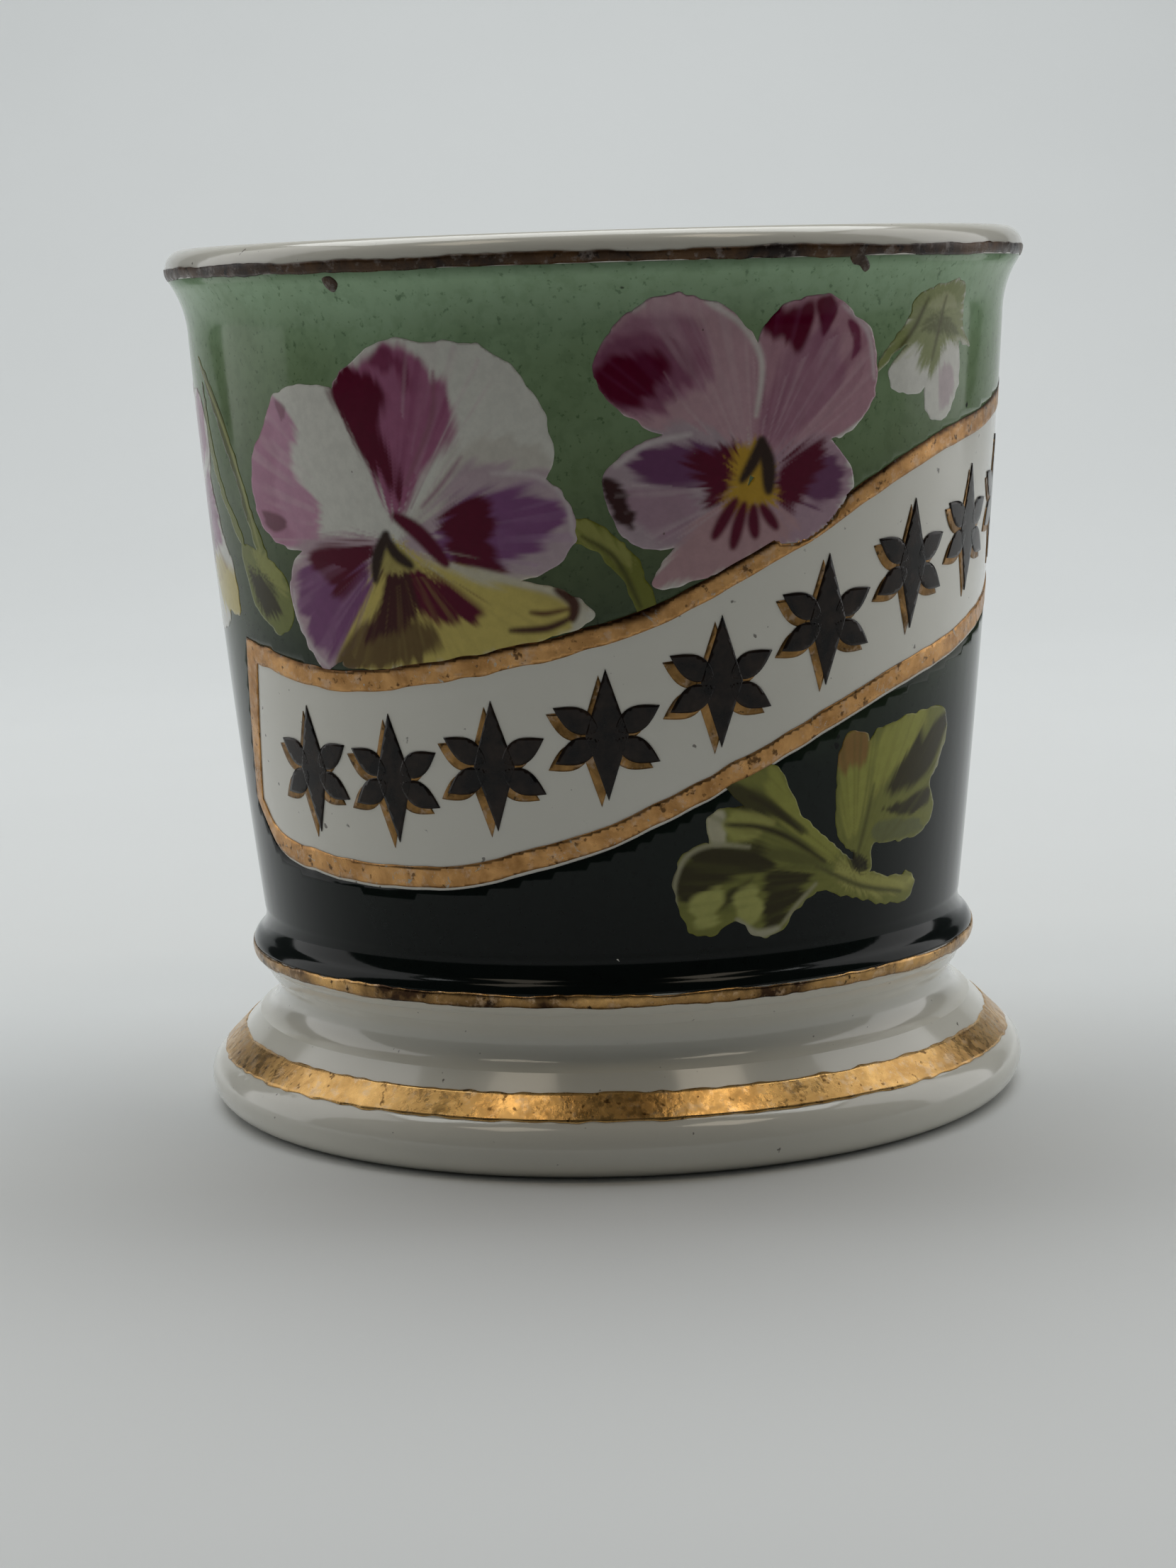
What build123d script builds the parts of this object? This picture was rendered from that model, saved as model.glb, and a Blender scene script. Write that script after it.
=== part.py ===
from build123d import *
from math import cos, radians, sin
import os

# Porcelain shaving mug: a cup on a pedestal foot, an ear handle at the back, and fired-on
# gilding and enamel. Millimetres, +Z up. The origin is the centre of the foot ring's resting
# face, the painted front faces -Y and the handle is at +Y.

# Heights of the porcelain
LIP_TOP = 90.0
LIP_EDGE = 87.0
WALL_TOP = 81.0
WALL_MIDDLE = 48.0
WALL_FOOT = 21.0
BEAD_TOP = 18.6
BEAD_MIDDLE = 16.9
BEAD_UNDER = 15.1
FOOT_TOP = 14.0

# Radii of the porcelain
LIP_RADIUS = 44.4
WALL_TOP_RADIUS = 42.5
WALL_MIDDLE_RADIUS = 39.95
WALL_FOOT_RADIUS = 37.2
BEAD_RADIUS = 38.6
COVE_RADIUS = 36.15
FOOT_TOP_RADIUS = 36.95
FOOT_RADIUS = 43.6
FOOT_REST_RADIUS = 41.2
FOOT_HOLLOW_RADIUS = 37.6

# Thicknesses
WALL = 3.3
FLOOR = 5.0
FLOOR_CORNER = 7.0
COAT = 0.15

# Gilt lines
RIM_LINE = (LIP_EDGE, 88.1)
WAIST_LINE = (16.0, 17.3)
FOOT_BAND = ((39.8, 8.0), (42.1, 5.7))

# Painting is laid out on the wall as if unrolled: distance round the wall from the front,
# positive to the right, at a reference radius, and height.
UNROLLED_RADIUS = 40.0
GILT_WIDTH = 2.1
OUT_OF_WALL = 60.0

BANNER_TOP = [(-45, 51), (-29, 48.8), (-10, 51.2), (4, 55), (17, 61), (34, 69), (55, 73.5), (70, 77)]
BANNER_FOOT = [(-49, 34), (-44, 29.6), (-36, 28), (-24, 27.4), (-14, 28.2), (0, 32), (16, 39), (30, 44.6), (52, 50), (68, 54)]

LEFT_PANSY = [
    [(-27, 76), (-32, 76.5), (-36, 73), (-39, 68.5), (-39, 64), (-36, 61.5), (-31, 60), (-20, 61)],
    [(-27, 76), (-24.5, 79), (-20, 81), (-16, 81), (-11, 80.3), (-7, 77.5), (-4.5, 73), (-5, 67), (-20, 60)],
    [(-32, 60.5), (-34, 57), (-32.5, 52.5), (-29.5, 49.5), (-25, 52), (-20, 60)],
    [(-20, 62), (-14, 67), (-9, 68.2), (-5, 67), (-2.8, 63), (-5, 59), (-10, 57), (-16, 58)],
    [(-22, 60), (-27, 52), (-29, 47), (-14, 46), (-1, 54), (-5.5, 57.6), (-12, 59)],
]
RIGHT_PANSY = [
    [(-0.7, 77), (1.5, 81.5), (6, 84), (10, 83.3), (14, 80.5), (15, 76), (13, 67), (5, 71), (0.5, 73.5)],
    [(14, 78), (16, 82), (20, 83.8), (24.5, 81.5), (27, 77), (27, 73), (22, 70), (13, 67)],
    [(0.5, 67), (4, 70.7), (13, 69.5), (12, 64), (6, 60.5), (2, 62), (0.6, 64.5)],
    [(14, 66), (17.5, 69.5), (21.6, 69.8), (24.7, 66), (21, 60), (16, 59)],
    [(13, 66), (7, 61), (4.8, 57), (8, 54), (18, 60)],
]
SIDE_PANSY = [
    [(-60, 66), (-67, 71), (-66, 76), (-60, 77), (-57, 73)],
    [(-60, 66), (-57, 74), (-52, 76), (-48.5, 72), (-50, 67)],
    [(-60, 66), (-68, 68), (-72, 63), (-69, 58), (-63, 60)],
    [(-60, 64), (-51, 67), (-47.5, 63), (-49, 58), (-55, 58)],
    [(-60, 64), (-64, 58), (-60, 52), (-53, 51), (-50, 54), (-54, 60)],
]
BUD = [
    [(31, 81), (29.5, 76.5), (31, 74.6), (33, 76), (34, 80)],
    [(33, 80), (34, 75), (35.5, 73.6), (37, 76), (37, 81)],
    [(27, 75.8), (33, 83), (37, 84.6), (38.5, 80), (35.5, 79), (33, 78), (31.5, 80)],
]
PANSY_STEM = [[(-3, 63.4), (0, 61.6), (3, 58.2), (4.2, 53), (2.6, 53), (1.2, 58), (-1.6, 60.6), (-3.2, 61.6)]]
LEFT_SPRIG = [
    [(-50, 79), (-46, 70), (-41, 58), (-36, 54), (-37, 46), (-42, 50), (-43, 59), (-48, 70)],
]
LEAF_SPRAY = [
    [(24, 41), (26, 40.8), (29, 41), (35, 42), (41, 43), (41.5, 38), (40, 31), (34, 28), (27, 28), (24.6, 33)],
    [(19, 41), (24, 34), (30, 29.5), (38, 26.5), (36, 22.6), (30, 24), (24, 27), (16, 36)],
    [(17, 36), (10, 34), (5.6, 30), (6, 25.6), (8.4, 23), (12, 23.6), (15.4, 21.6), (19.5, 24.5), (24, 28)],
]

# Ornament on the banner: a row of lozenges, each with four pointed leaves
MOTIF_COUNT = 9
MOTIF_START = -34.0
MOTIF_END = 56.0
LOZENGE = [(0, 6.4), (2.1, 0), (0, -6.4), (-2.1, 0)]
LEAF_LENGTH = 4.9
LEAF_WIDTH = 2.5
LEAF_ROOT = 0.9
LEAF_TURNS = (28, 152, 208, 332)
SHADE_SHIFT = (-0.7, -0.6)

# The banner is laid out in spans, each seen straight on
BANNER_SPANS = [(-60, -14), (-16, 30), (28, 80)]
BANNER_STEP = 5.0

# Handle
HANDLE_TOP = 74.0
HANDLE_ARM = 16.0
HANDLE_BEND = 15.0
HANDLE_SWEEP = 45.0
HANDLE_TURN = 38.0
HANDLE_HEEL = 10.0
HANDLE_START = 36.0
# Width and depth of the handle's oval section at five places, from the top root to the lower one
HANDLE_SECTIONS = [(13.0, 8.4), (10.0, 6.6), (8.6, 5.8), (8.0, 5.4), (10.5, 7.0)]


def outside_profile(shift=0.0):
    """The outside of the cup from under the bead to the lip, moved outwards; gives its two ends."""
    ThreePointArc(
        (FOOT_TOP_RADIUS + 0.6 + shift, BEAD_UNDER),
        (BEAD_RADIUS + shift, BEAD_MIDDLE),
        (WALL_FOOT_RADIUS + 0.45 + shift, BEAD_TOP),
    )
    ThreePointArc(
        (WALL_FOOT_RADIUS + 0.45 + shift, BEAD_TOP),
        (WALL_FOOT_RADIUS - 0.05 + shift, 19.7),
        (WALL_FOOT_RADIUS + shift, WALL_FOOT),
    )
    ThreePointArc(
        (WALL_FOOT_RADIUS + shift, WALL_FOOT),
        (WALL_MIDDLE_RADIUS + shift, WALL_MIDDLE),
        (WALL_TOP_RADIUS + shift, WALL_TOP),
    )
    ThreePointArc(
        (WALL_TOP_RADIUS + shift, WALL_TOP),
        (WALL_TOP_RADIUS + 0.55 + shift, 84.3),
        (LIP_RADIUS + shift, LIP_EDGE),
    )
    ThreePointArc(
        (LIP_RADIUS + shift, LIP_EDGE),
        (LIP_RADIUS + 0.1 + shift, 88.8),
        (LIP_RADIUS - 1.3 + shift, LIP_TOP),
    )
    return (FOOT_TOP_RADIUS + 0.6 + shift, BEAD_UNDER), (LIP_RADIUS - 1.3 + shift, LIP_TOP)


def inside_profile():
    """The inside of the cup from the lip to the middle of the floor."""
    lip_inner = LIP_RADIUS - 2.9
    corner_radius = WALL_FOOT_RADIUS - WALL - FLOOR_CORNER
    floor = FOOT_TOP + FLOOR
    ThreePointArc((LIP_RADIUS - 1.3, LIP_TOP), (lip_inner - 0.1, 89.2), (lip_inner - 0.7, 87.2))
    ThreePointArc(
        (lip_inner - 0.7, 87.2),
        (WALL_TOP_RADIUS - WALL + 0.35, 84.0),
        (WALL_TOP_RADIUS - WALL, WALL_TOP - 1),
    )
    ThreePointArc(
        (WALL_TOP_RADIUS - WALL, WALL_TOP - 1),
        (WALL_MIDDLE_RADIUS - WALL, WALL_MIDDLE + 2),
        (WALL_FOOT_RADIUS - WALL, floor + FLOOR_CORNER),
    )
    RadiusArc((WALL_FOOT_RADIUS - WALL, floor + FLOOR_CORNER), (corner_radius, floor), FLOOR_CORNER)
    Line((corner_radius, floor), (0, floor))


def coat_on_wall(low, high):
    """A fired-on coat all round the wall, from one height to another, in the current part."""
    with BuildSketch(Plane.XZ) as section:
        with BuildLine():
            inner_foot, inner_lip = outside_profile()
            outer_foot, outer_lip = outside_profile(COAT)
            Line(inner_foot, outer_foot)
            Line(inner_lip, outer_lip)
        make_face()
    revolve(section.sketch, axis=Axis.Z)
    split(bisect_by=Plane.XY.offset(low), keep=Keep.TOP)
    split(bisect_by=Plane.XY.offset(high), keep=Keep.BOTTOM)


def wall_radius(height):
    """Nearly the radius of the wall at a height, good enough to lay out the painting."""
    share = (height - WALL_FOOT) / (WALL_TOP - WALL_FOOT)
    bulge = 4 * share * (1 - share) * 0.1
    return WALL_FOOT_RADIUS + (WALL_TOP_RADIUS - WALL_FOOT_RADIUS) * share + bulge


def facing(across):
    """The upright plane through the axis that faces the unrolled position."""
    angle = across / UNROLLED_RADIUS
    return Plane(origin=(0, 0, 0), x_dir=(cos(angle), sin(angle), 0), z_dir=(sin(angle), -cos(angle), 0))


def seen_from(middle, points):
    """Unrolled points as they look from straight in front of an unrolled position."""
    return [(wall_radius(up) * sin((across - middle) / UNROLLED_RADIUS), up) for across, up in points]


def middle_of(outlines):
    """The unrolled position half way across a group of outlines."""
    places = [across for outline in outlines for across, up in outline]
    return (min(places) + max(places)) / 2


def edge_height(edge, place):
    """The height of a banner edge at an unrolled position, on a smooth curve through its points."""
    index = max(k for k, point in enumerate(edge[:-1]) if point[0] <= place or k == 0)
    (left, low), (right, high) = edge[index], edge[index + 1]
    before = edge[max(index - 1, 0)]
    after = edge[min(index + 2, len(edge) - 1)]
    slope_left = (high - before[1]) / (right - before[0])
    slope_right = (after[1] - low) / (after[0] - left)
    width = right - left
    t = (place - left) / width
    return (
        low * (1 + 2 * t) * (1 - t) ** 2
        + high * t * t * (3 - 2 * t)
        + slope_left * width * t * (1 - t) ** 2
        - slope_right * width * t * t * (1 - t)
    )


def edge_points(edge, low, high):
    """Points along a banner edge, from its own end or a limit to its other end or a limit."""
    start = max(edge[0][0], low)
    end = min(edge[-1][0], high)
    steps = max(2, round((end - start) / BANNER_STEP))
    places = [start + (end - start) * k / steps for k in range(steps + 1)]
    return [(place, edge_height(edge, place)) for place in places]


def banner_block(inset=0.0):
    """The banner's whole area, less an inset all round, as a block out from the axis."""
    top = [(across, up - inset) for across, up in BANNER_TOP]
    foot = [(across, up + inset) for across, up in BANNER_FOOT]
    top[0] = (top[0][0] + inset, top[0][1])
    foot[0] = (foot[0][0] + inset, foot[0][1])
    top[-1] = (top[-1][0] - inset, top[-1][1])
    foot[-1] = (foot[-1][0] - inset, foot[-1][1])
    with BuildPart(mode=Mode.PRIVATE) as block:
        for low, high in BANNER_SPANS:
            middle = (low + high) / 2
            upper = seen_from(middle, edge_points(top, low, high))
            lower = seen_from(middle, edge_points(foot, low, high))
            with BuildSketch(facing(middle)) as shape:
                with BuildLine():
                    Spline(*upper)
                    Line(upper[-1], lower[-1])
                    Spline(*lower)
                    Line(lower[0], upper[0])
                make_face()
            extrude(shape.sketch, amount=OUT_OF_WALL)
    return block.part


def stencil_block(outlines):
    """A group of smooth outlines as a block out from the axis."""
    middle = middle_of(outlines)
    with BuildPart(mode=Mode.PRIVATE) as block:
        with BuildSketch(facing(middle)) as shapes:
            for outline in outlines:
                with BuildLine():
                    Spline(*seen_from(middle, outline), periodic=True)
                make_face()
        extrude(shapes.sketch, amount=OUT_OF_WALL)
    return block.part


def leaf(centre, turn):
    """A pointed leaf in the current sketch, rooted near a centre and turned to one side."""
    along = (cos(radians(turn)), sin(radians(turn)))

    def point(out, side):
        return (centre[0] + out * along[0] - side * along[1], centre[1] + out * along[1] + side * along[0])

    waist = LEAF_ROOT + LEAF_LENGTH * 0.45
    root = point(LEAF_ROOT, 0)
    tip = point(LEAF_ROOT + LEAF_LENGTH, 0)
    with BuildLine() as sides:
        ThreePointArc(root, point(waist, LEAF_WIDTH / 2), tip)
        ThreePointArc(tip, point(waist, -LEAF_WIDTH / 2), root)
    make_face(sides.edges())


def motif_block(shift=(0.0, 0.0)):
    """The row of lozenges and leaves on the banner as one block out from the axis."""
    with BuildPart(mode=Mode.PRIVATE) as block:
        for k in range(MOTIF_COUNT):
            place = MOTIF_START + (MOTIF_END - MOTIF_START) * k / (MOTIF_COUNT - 1)
            height = (edge_height(BANNER_TOP, place) + edge_height(BANNER_FOOT, place)) / 2
            centre = (shift[0], height + shift[1])
            with BuildSketch(facing(place)) as motif:
                with BuildLine():
                    Polyline(*[(x + centre[0], y + centre[1]) for x, y in LOZENGE], close=True)
                make_face()
                for turn in LEAF_TURNS:
                    leaf(centre, turn)
            extrude(motif.sketch, amount=OUT_OF_WALL)
    return block.part


def handle_path():
    """The middle line of the handle, from inside the wall over the bow and back to the wall."""
    bow_centre = (HANDLE_START + HANDLE_ARM, HANDLE_TOP - HANDLE_BEND)
    sweep_centre = (bow_centre[0] + HANDLE_BEND - HANDLE_SWEEP, bow_centre[1])
    turn = radians(HANDLE_TURN)
    from_sweep = HANDLE_SWEEP - HANDLE_HEEL
    heel_centre = (sweep_centre[0] + from_sweep * cos(turn), sweep_centre[1] - from_sweep * sin(turn))
    with BuildLine(Plane.YZ) as path:
        Line((HANDLE_START, HANDLE_TOP), (bow_centre[0], HANDLE_TOP))
        CenterArc(bow_centre, HANDLE_BEND, 90, -90)
        CenterArc(sweep_centre, HANDLE_SWEEP, 0, -HANDLE_TURN)
        CenterArc(heel_centre, HANDLE_HEEL, -HANDLE_TURN, HANDLE_TURN - 90)
        Line((heel_centre[0], heel_centre[1] - HANDLE_HEEL), (HANDLE_START - 6, heel_centre[1] - HANDLE_HEEL))
    return path.line


def piece(build, name):
    """Labels a finished piece and writes it."""
    build.part.label = name
    export_step(build.part, f"parts/{name}.step")


os.makedirs("parts", exist_ok=True)

with BuildPart() as cup:
    with BuildSketch(Plane.XZ):
        with BuildLine():
            outside_profile()
            inside_profile()
            Line((0, FOOT_TOP + FLOOR), (0, FOOT_TOP))
            Line((0, FOOT_TOP), (FOOT_TOP_RADIUS, FOOT_TOP))
            Line((FOOT_TOP_RADIUS, FOOT_TOP), (FOOT_TOP_RADIUS + 0.6, BEAD_UNDER))
        make_face()
    revolve(axis=Axis.Z)
piece(cup, "cup")

with BuildPart() as pedestal_foot:
    with BuildSketch(Plane.XZ):
        with BuildLine():
            Line((FOOT_REST_RADIUS, 0), (FOOT_HOLLOW_RADIUS, 0))
            ThreePointArc((FOOT_HOLLOW_RADIUS, 0), (36.2, 0.9), (35.4, 2.6))
            Line((35.4, 2.6), (32.4, FOOT_TOP))
            Line((32.4, FOOT_TOP), (FOOT_TOP_RADIUS, FOOT_TOP))
            ThreePointArc((FOOT_TOP_RADIUS, FOOT_TOP), (COVE_RADIUS, 12.2), (38.2, 9.6))
            Line((38.2, 9.6), (42.2, 5.6))
            ThreePointArc((42.2, 5.6), (FOOT_RADIUS, 2.6), (FOOT_REST_RADIUS, 0))
        make_face()
    revolve(axis=Axis.Z)
piece(pedestal_foot, "pedestal_foot")

with BuildPart() as handle:
    path = handle_path()
    for k, (width, depth) in enumerate(HANDLE_SECTIONS):
        along = k / (len(HANDLE_SECTIONS) - 1)
        with BuildSketch(Plane(origin=path @ along, z_dir=path % along, x_dir=(1, 0, 0))):
            Ellipse(width / 2, depth / 2)
    sweep(path=path, multisection=True)
    with BuildSketch(Plane.XZ):
        with BuildLine():
            side_foot, side_lip = outside_profile()
            Line(side_lip, (0, LIP_TOP))
            Line((0, LIP_TOP), (0, BEAD_UNDER))
            Line((0, BEAD_UNDER), side_foot)
        make_face()
    revolve(axis=Axis.Z, mode=Mode.SUBTRACT)
piece(handle, "handle")

banner = banner_block()
banner_inside = banner_block(GILT_WIDTH)
left_pansy_block = stencil_block(LEFT_PANSY)
right_pansy_block = stencil_block(RIGHT_PANSY)
side_pansy_block = stencil_block(SIDE_PANSY)
bud_block = stencil_block(BUD)
stem_block = stencil_block(PANSY_STEM)
sprig_block = stencil_block(LEFT_SPRIG)
spray_block = stencil_block(LEAF_SPRAY)
petal_over_gilding = stencil_block([RIGHT_PANSY[3]])
motifs = motif_block()
motif_shades = motif_block(SHADE_SHIFT)

with BuildPart() as rim_gilt_line:
    coat_on_wall(*RIM_LINE)
piece(rim_gilt_line, "rim_gilt_line")

with BuildPart() as waist_gilt_line:
    coat_on_wall(*WAIST_LINE)
piece(waist_gilt_line, "waist_gilt_line")

with BuildPart() as foot_gilt_band:
    with BuildSketch(Plane.XZ):
        with BuildLine():
            (top_radius, top), (foot_radius, foot) = FOOT_BAND
            Polyline(
                (top_radius, top),
                (foot_radius, foot),
                (foot_radius + COAT * 0.7, foot + COAT * 0.7),
                (top_radius + COAT * 0.7, top + COAT * 0.7),
                close=True,
            )
        make_face()
    revolve(axis=Axis.Z)
piece(foot_gilt_band, "foot_gilt_band")

with BuildPart() as banner_gilding:
    coat_on_wall(WAIST_LINE[1], LIP_EDGE)
    add(banner, mode=Mode.INTERSECT)
    add(banner_inside, mode=Mode.SUBTRACT)
    add(petal_over_gilding, mode=Mode.SUBTRACT)
piece(banner_gilding, "banner_gilding")

with BuildPart() as ground_enamel:
    coat_on_wall(WAIST_LINE[1], LIP_EDGE)
    add(banner, mode=Mode.SUBTRACT)
    for block in (left_pansy_block, right_pansy_block, side_pansy_block, bud_block):
        add(block, mode=Mode.SUBTRACT)
    for block in (stem_block, sprig_block, spray_block, handle.part):
        add(block, mode=Mode.SUBTRACT)
piece(ground_enamel, "ground_enamel")

# Each painted group of the front, with the blocks that lie over it
painting = {
    "left_pansy": (left_pansy_block, [banner]),
    "right_pansy": (right_pansy_block, [banner_inside, banner_gilding.part]),
    "side_pansy": (side_pansy_block, [sprig_block]),
    "flower_bud": (bud_block, [right_pansy_block, banner]),
    "pansy_stem": (stem_block, [left_pansy_block, banner]),
    "leaf_sprig": (sprig_block, [left_pansy_block, banner]),
    "leaf_spray": (spray_block, [banner]),
}
for name, (shape, covers) in painting.items():
    with BuildPart() as paint:
        coat_on_wall(WAIST_LINE[1], LIP_EDGE)
        add(shape, mode=Mode.INTERSECT)
        for cover in covers:
            add(cover, mode=Mode.SUBTRACT)
    piece(paint, name)

# The ornament is many separate solids in one coat, which a builder's own intersection can't keep
with BuildPart() as ornament_coat:
    coat_on_wall(WAIST_LINE[1], LIP_EDGE)
banner_ornament = ornament_coat.part & motifs
banner_ornament.label = "banner_ornament"
export_step(banner_ornament, "parts/banner_ornament.step")
banner_ornament_shade = (ornament_coat.part & motif_shades) - motifs
banner_ornament_shade.label = "banner_ornament_shade"
export_step(banner_ornament_shade, "parts/banner_ornament_shade.step")
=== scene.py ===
from math import cos, pi, radians, sin

import bmesh
import bpy
import numpy as np
from mathutils import Matrix, Vector
from mathutils.geometry import delaunay_2d_cdt


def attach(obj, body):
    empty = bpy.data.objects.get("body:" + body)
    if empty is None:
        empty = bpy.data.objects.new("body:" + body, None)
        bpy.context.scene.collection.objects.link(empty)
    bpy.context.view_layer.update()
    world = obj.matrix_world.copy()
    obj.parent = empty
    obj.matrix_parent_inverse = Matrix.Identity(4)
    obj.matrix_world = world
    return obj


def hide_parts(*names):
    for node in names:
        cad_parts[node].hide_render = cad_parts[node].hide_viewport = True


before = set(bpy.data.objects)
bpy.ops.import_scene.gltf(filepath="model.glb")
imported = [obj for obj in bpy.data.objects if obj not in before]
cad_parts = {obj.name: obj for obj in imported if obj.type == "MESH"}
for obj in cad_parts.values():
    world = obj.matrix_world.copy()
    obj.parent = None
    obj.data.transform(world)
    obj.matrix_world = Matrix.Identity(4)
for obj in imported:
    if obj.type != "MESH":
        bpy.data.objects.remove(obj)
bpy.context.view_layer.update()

MM = 0.001

# ---------------- the wall that is painted on

# The outside of the cup as arcs, each by its foot, middle and top, as (radius, height) in mm
BEAD = ((37.55, 15.1), (38.6, 16.9), (37.65, 18.6))
NECK = ((37.65, 18.6), (37.15, 19.7), (37.2, 21.0))
WALL = ((37.2, 21.0), (39.95, 48.0), (42.5, 81.0))
FLARE = ((42.5, 81.0), (43.05, 84.3), (44.4, 87.0))
LIP = ((44.4, 87.0), (44.5, 88.8), (43.1, 90.0))
GROUND_FOOT = 17.3
GROUND_TOP = 87.0
UNROLLED_RADIUS = 40.0
BACK = UNROLLED_RADIUS * pi


def arc_radius(arc, height):
    """The radius at some heights on an arc through three points of the profile."""
    (ax, ay), (bx, by), (cx, cy) = arc
    d = 2 * (ax * (by - cy) + bx * (cy - ay) + cx * (ay - by))
    a2, b2, c2 = ax * ax + ay * ay, bx * bx + by * by, cx * cx + cy * cy
    middle_x = (a2 * (by - cy) + b2 * (cy - ay) + c2 * (ay - by)) / d
    middle_y = (a2 * (cx - bx) + b2 * (ax - cx) + c2 * (bx - ax)) / d
    size = np.hypot(ax - middle_x, ay - middle_y)
    side = 1.0 if bx > middle_x else -1.0
    return middle_x + side * np.sqrt(np.maximum(size**2 - (height - middle_y) ** 2, 0.0))


def wall_radius(height):
    """The outside radius of the cup at some heights, in mm."""
    radius = arc_radius(BEAD, height)
    for arc in (NECK, WALL, FLARE, LIP):
        radius = np.where(height > arc[0][1], arc_radius(arc, height), radius)
    return radius


def on_wall(across, height, lift):
    """Unrolled places on the wall as points in metres, lifted off it by a little."""
    angle = across / UNROLLED_RADIUS
    radius = (wall_radius(height) + lift) * MM
    return np.stack([radius * np.sin(angle), -radius * np.cos(angle), height * MM], axis=-1)


# ---------------- smooth lines and noise


def smooth(points, closed=False, per_side=8):
    """A smooth line through given points."""
    points = np.array(points, float)
    count = len(points)
    last = count if closed else count - 1
    line = []
    for k in range(last):
        if closed:
            p0, p1, p2, p3 = (points[(k + j) % count] for j in (-1, 0, 1, 2))
        else:
            p0, p1, p2, p3 = (points[min(max(k + j, 0), count - 1)] for j in (-1, 0, 1, 2))
        for t in np.arange(per_side) / per_side:
            line.append(
                0.5 * (2 * p1 + (p2 - p0) * t + (2 * p0 - 5 * p1 + 4 * p2 - p3) * t**2
                       + (3 * p1 - p0 - 3 * p2 + p3) * t**3)
            )
    if not closed:
        line.append(points[-1])
    return np.array(line)


def lattice(ix, iy, seed):
    """A repeatable random number from 0 to 1 for each whole-number place."""
    mixed = np.sin(ix * 127.1 + iy * 311.7 + seed * 74.7) * 43758.5453
    return mixed - np.floor(mixed)


def noise(x, y, seed=0):
    """Smooth noise from 0 to 1 with features about one unit across."""
    ix, iy = np.floor(x), np.floor(y)
    fx, fy = x - ix, y - iy
    fx, fy = fx * fx * (3 - 2 * fx), fy * fy * (3 - 2 * fy)
    low = lattice(ix, iy, seed) * (1 - fx) + lattice(ix + 1, iy, seed) * fx
    high = lattice(ix, iy + 1, seed) * (1 - fx) + lattice(ix + 1, iy + 1, seed) * fx
    return low * (1 - fy) + high * fy


def ramp(value, low, high):
    """0 below low, 1 above high and a smooth step between."""
    t = np.clip((value - low) / (high - low), 0, 1)
    return t * t * (3 - 2 * t)


# ---------------- sheets of paint


def is_inside(places, outline):
    """Which places lie inside a closed outline."""
    x, y = places[:, 0], places[:, 1]
    found = np.zeros(len(places), bool)
    for (ax, ay), (bx, by) in zip(outline, np.roll(outline, -1, axis=0)):
        if ay != by:
            found ^= ((ay > y) != (by > y)) & (x < ax + (y - ay) * (bx - ax) / (by - ay))
    return found


def distance(places, line):
    """How far each place is from a line through points."""
    nearest = np.full(len(places), np.inf)
    for start, end in zip(line[:-1], line[1:]):
        along = end - start
        t = np.clip(((places - start) @ along) / max(along @ along, 1e-9), 0, 1)
        gap = places - start - t[:, None] * along
        nearest = np.minimum(nearest, (gap * gap).sum(axis=1))
    return np.sqrt(nearest)


def evenly(outline, spacing):
    """A closed outline with its points evenly spaced."""
    closed = np.vstack([outline, outline[:1]])
    along = np.concatenate([[0], np.cumsum(np.hypot(*np.diff(closed, axis=0).T))])
    count = max(8, int(along[-1] / spacing))
    places = np.arange(count) * along[-1] / count
    return np.stack([np.interp(places, along, closed[:, k]) for k in (0, 1)], axis=-1)


def mesh_object(name, points, faces):
    """A smooth-shaded mesh object in the scene."""
    mesh = bpy.data.meshes.new(name)
    mesh.from_pydata([tuple(point) for point in points], [], [tuple(face) for face in faces])
    mesh.shade_smooth()
    made = bpy.data.objects.new(name, mesh)
    bpy.context.collection.objects.link(made)
    return made


def thicken(made, thickness):
    """Gives a sheet its body, down into the glaze under it."""
    body = made.modifiers.new("coat", "SOLIDIFY")
    body.thickness = thickness * MM
    body.offset = -1.0
    body.use_even_offset = False


def finish_piece(made, material, cad_node):
    """Finishes a piece: gives it its material, hangs it on the root body and hides the CAD node it stands
    for.
    """
    made.data.materials.append(material)
    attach(made, "root")
    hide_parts(cad_node)


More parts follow.
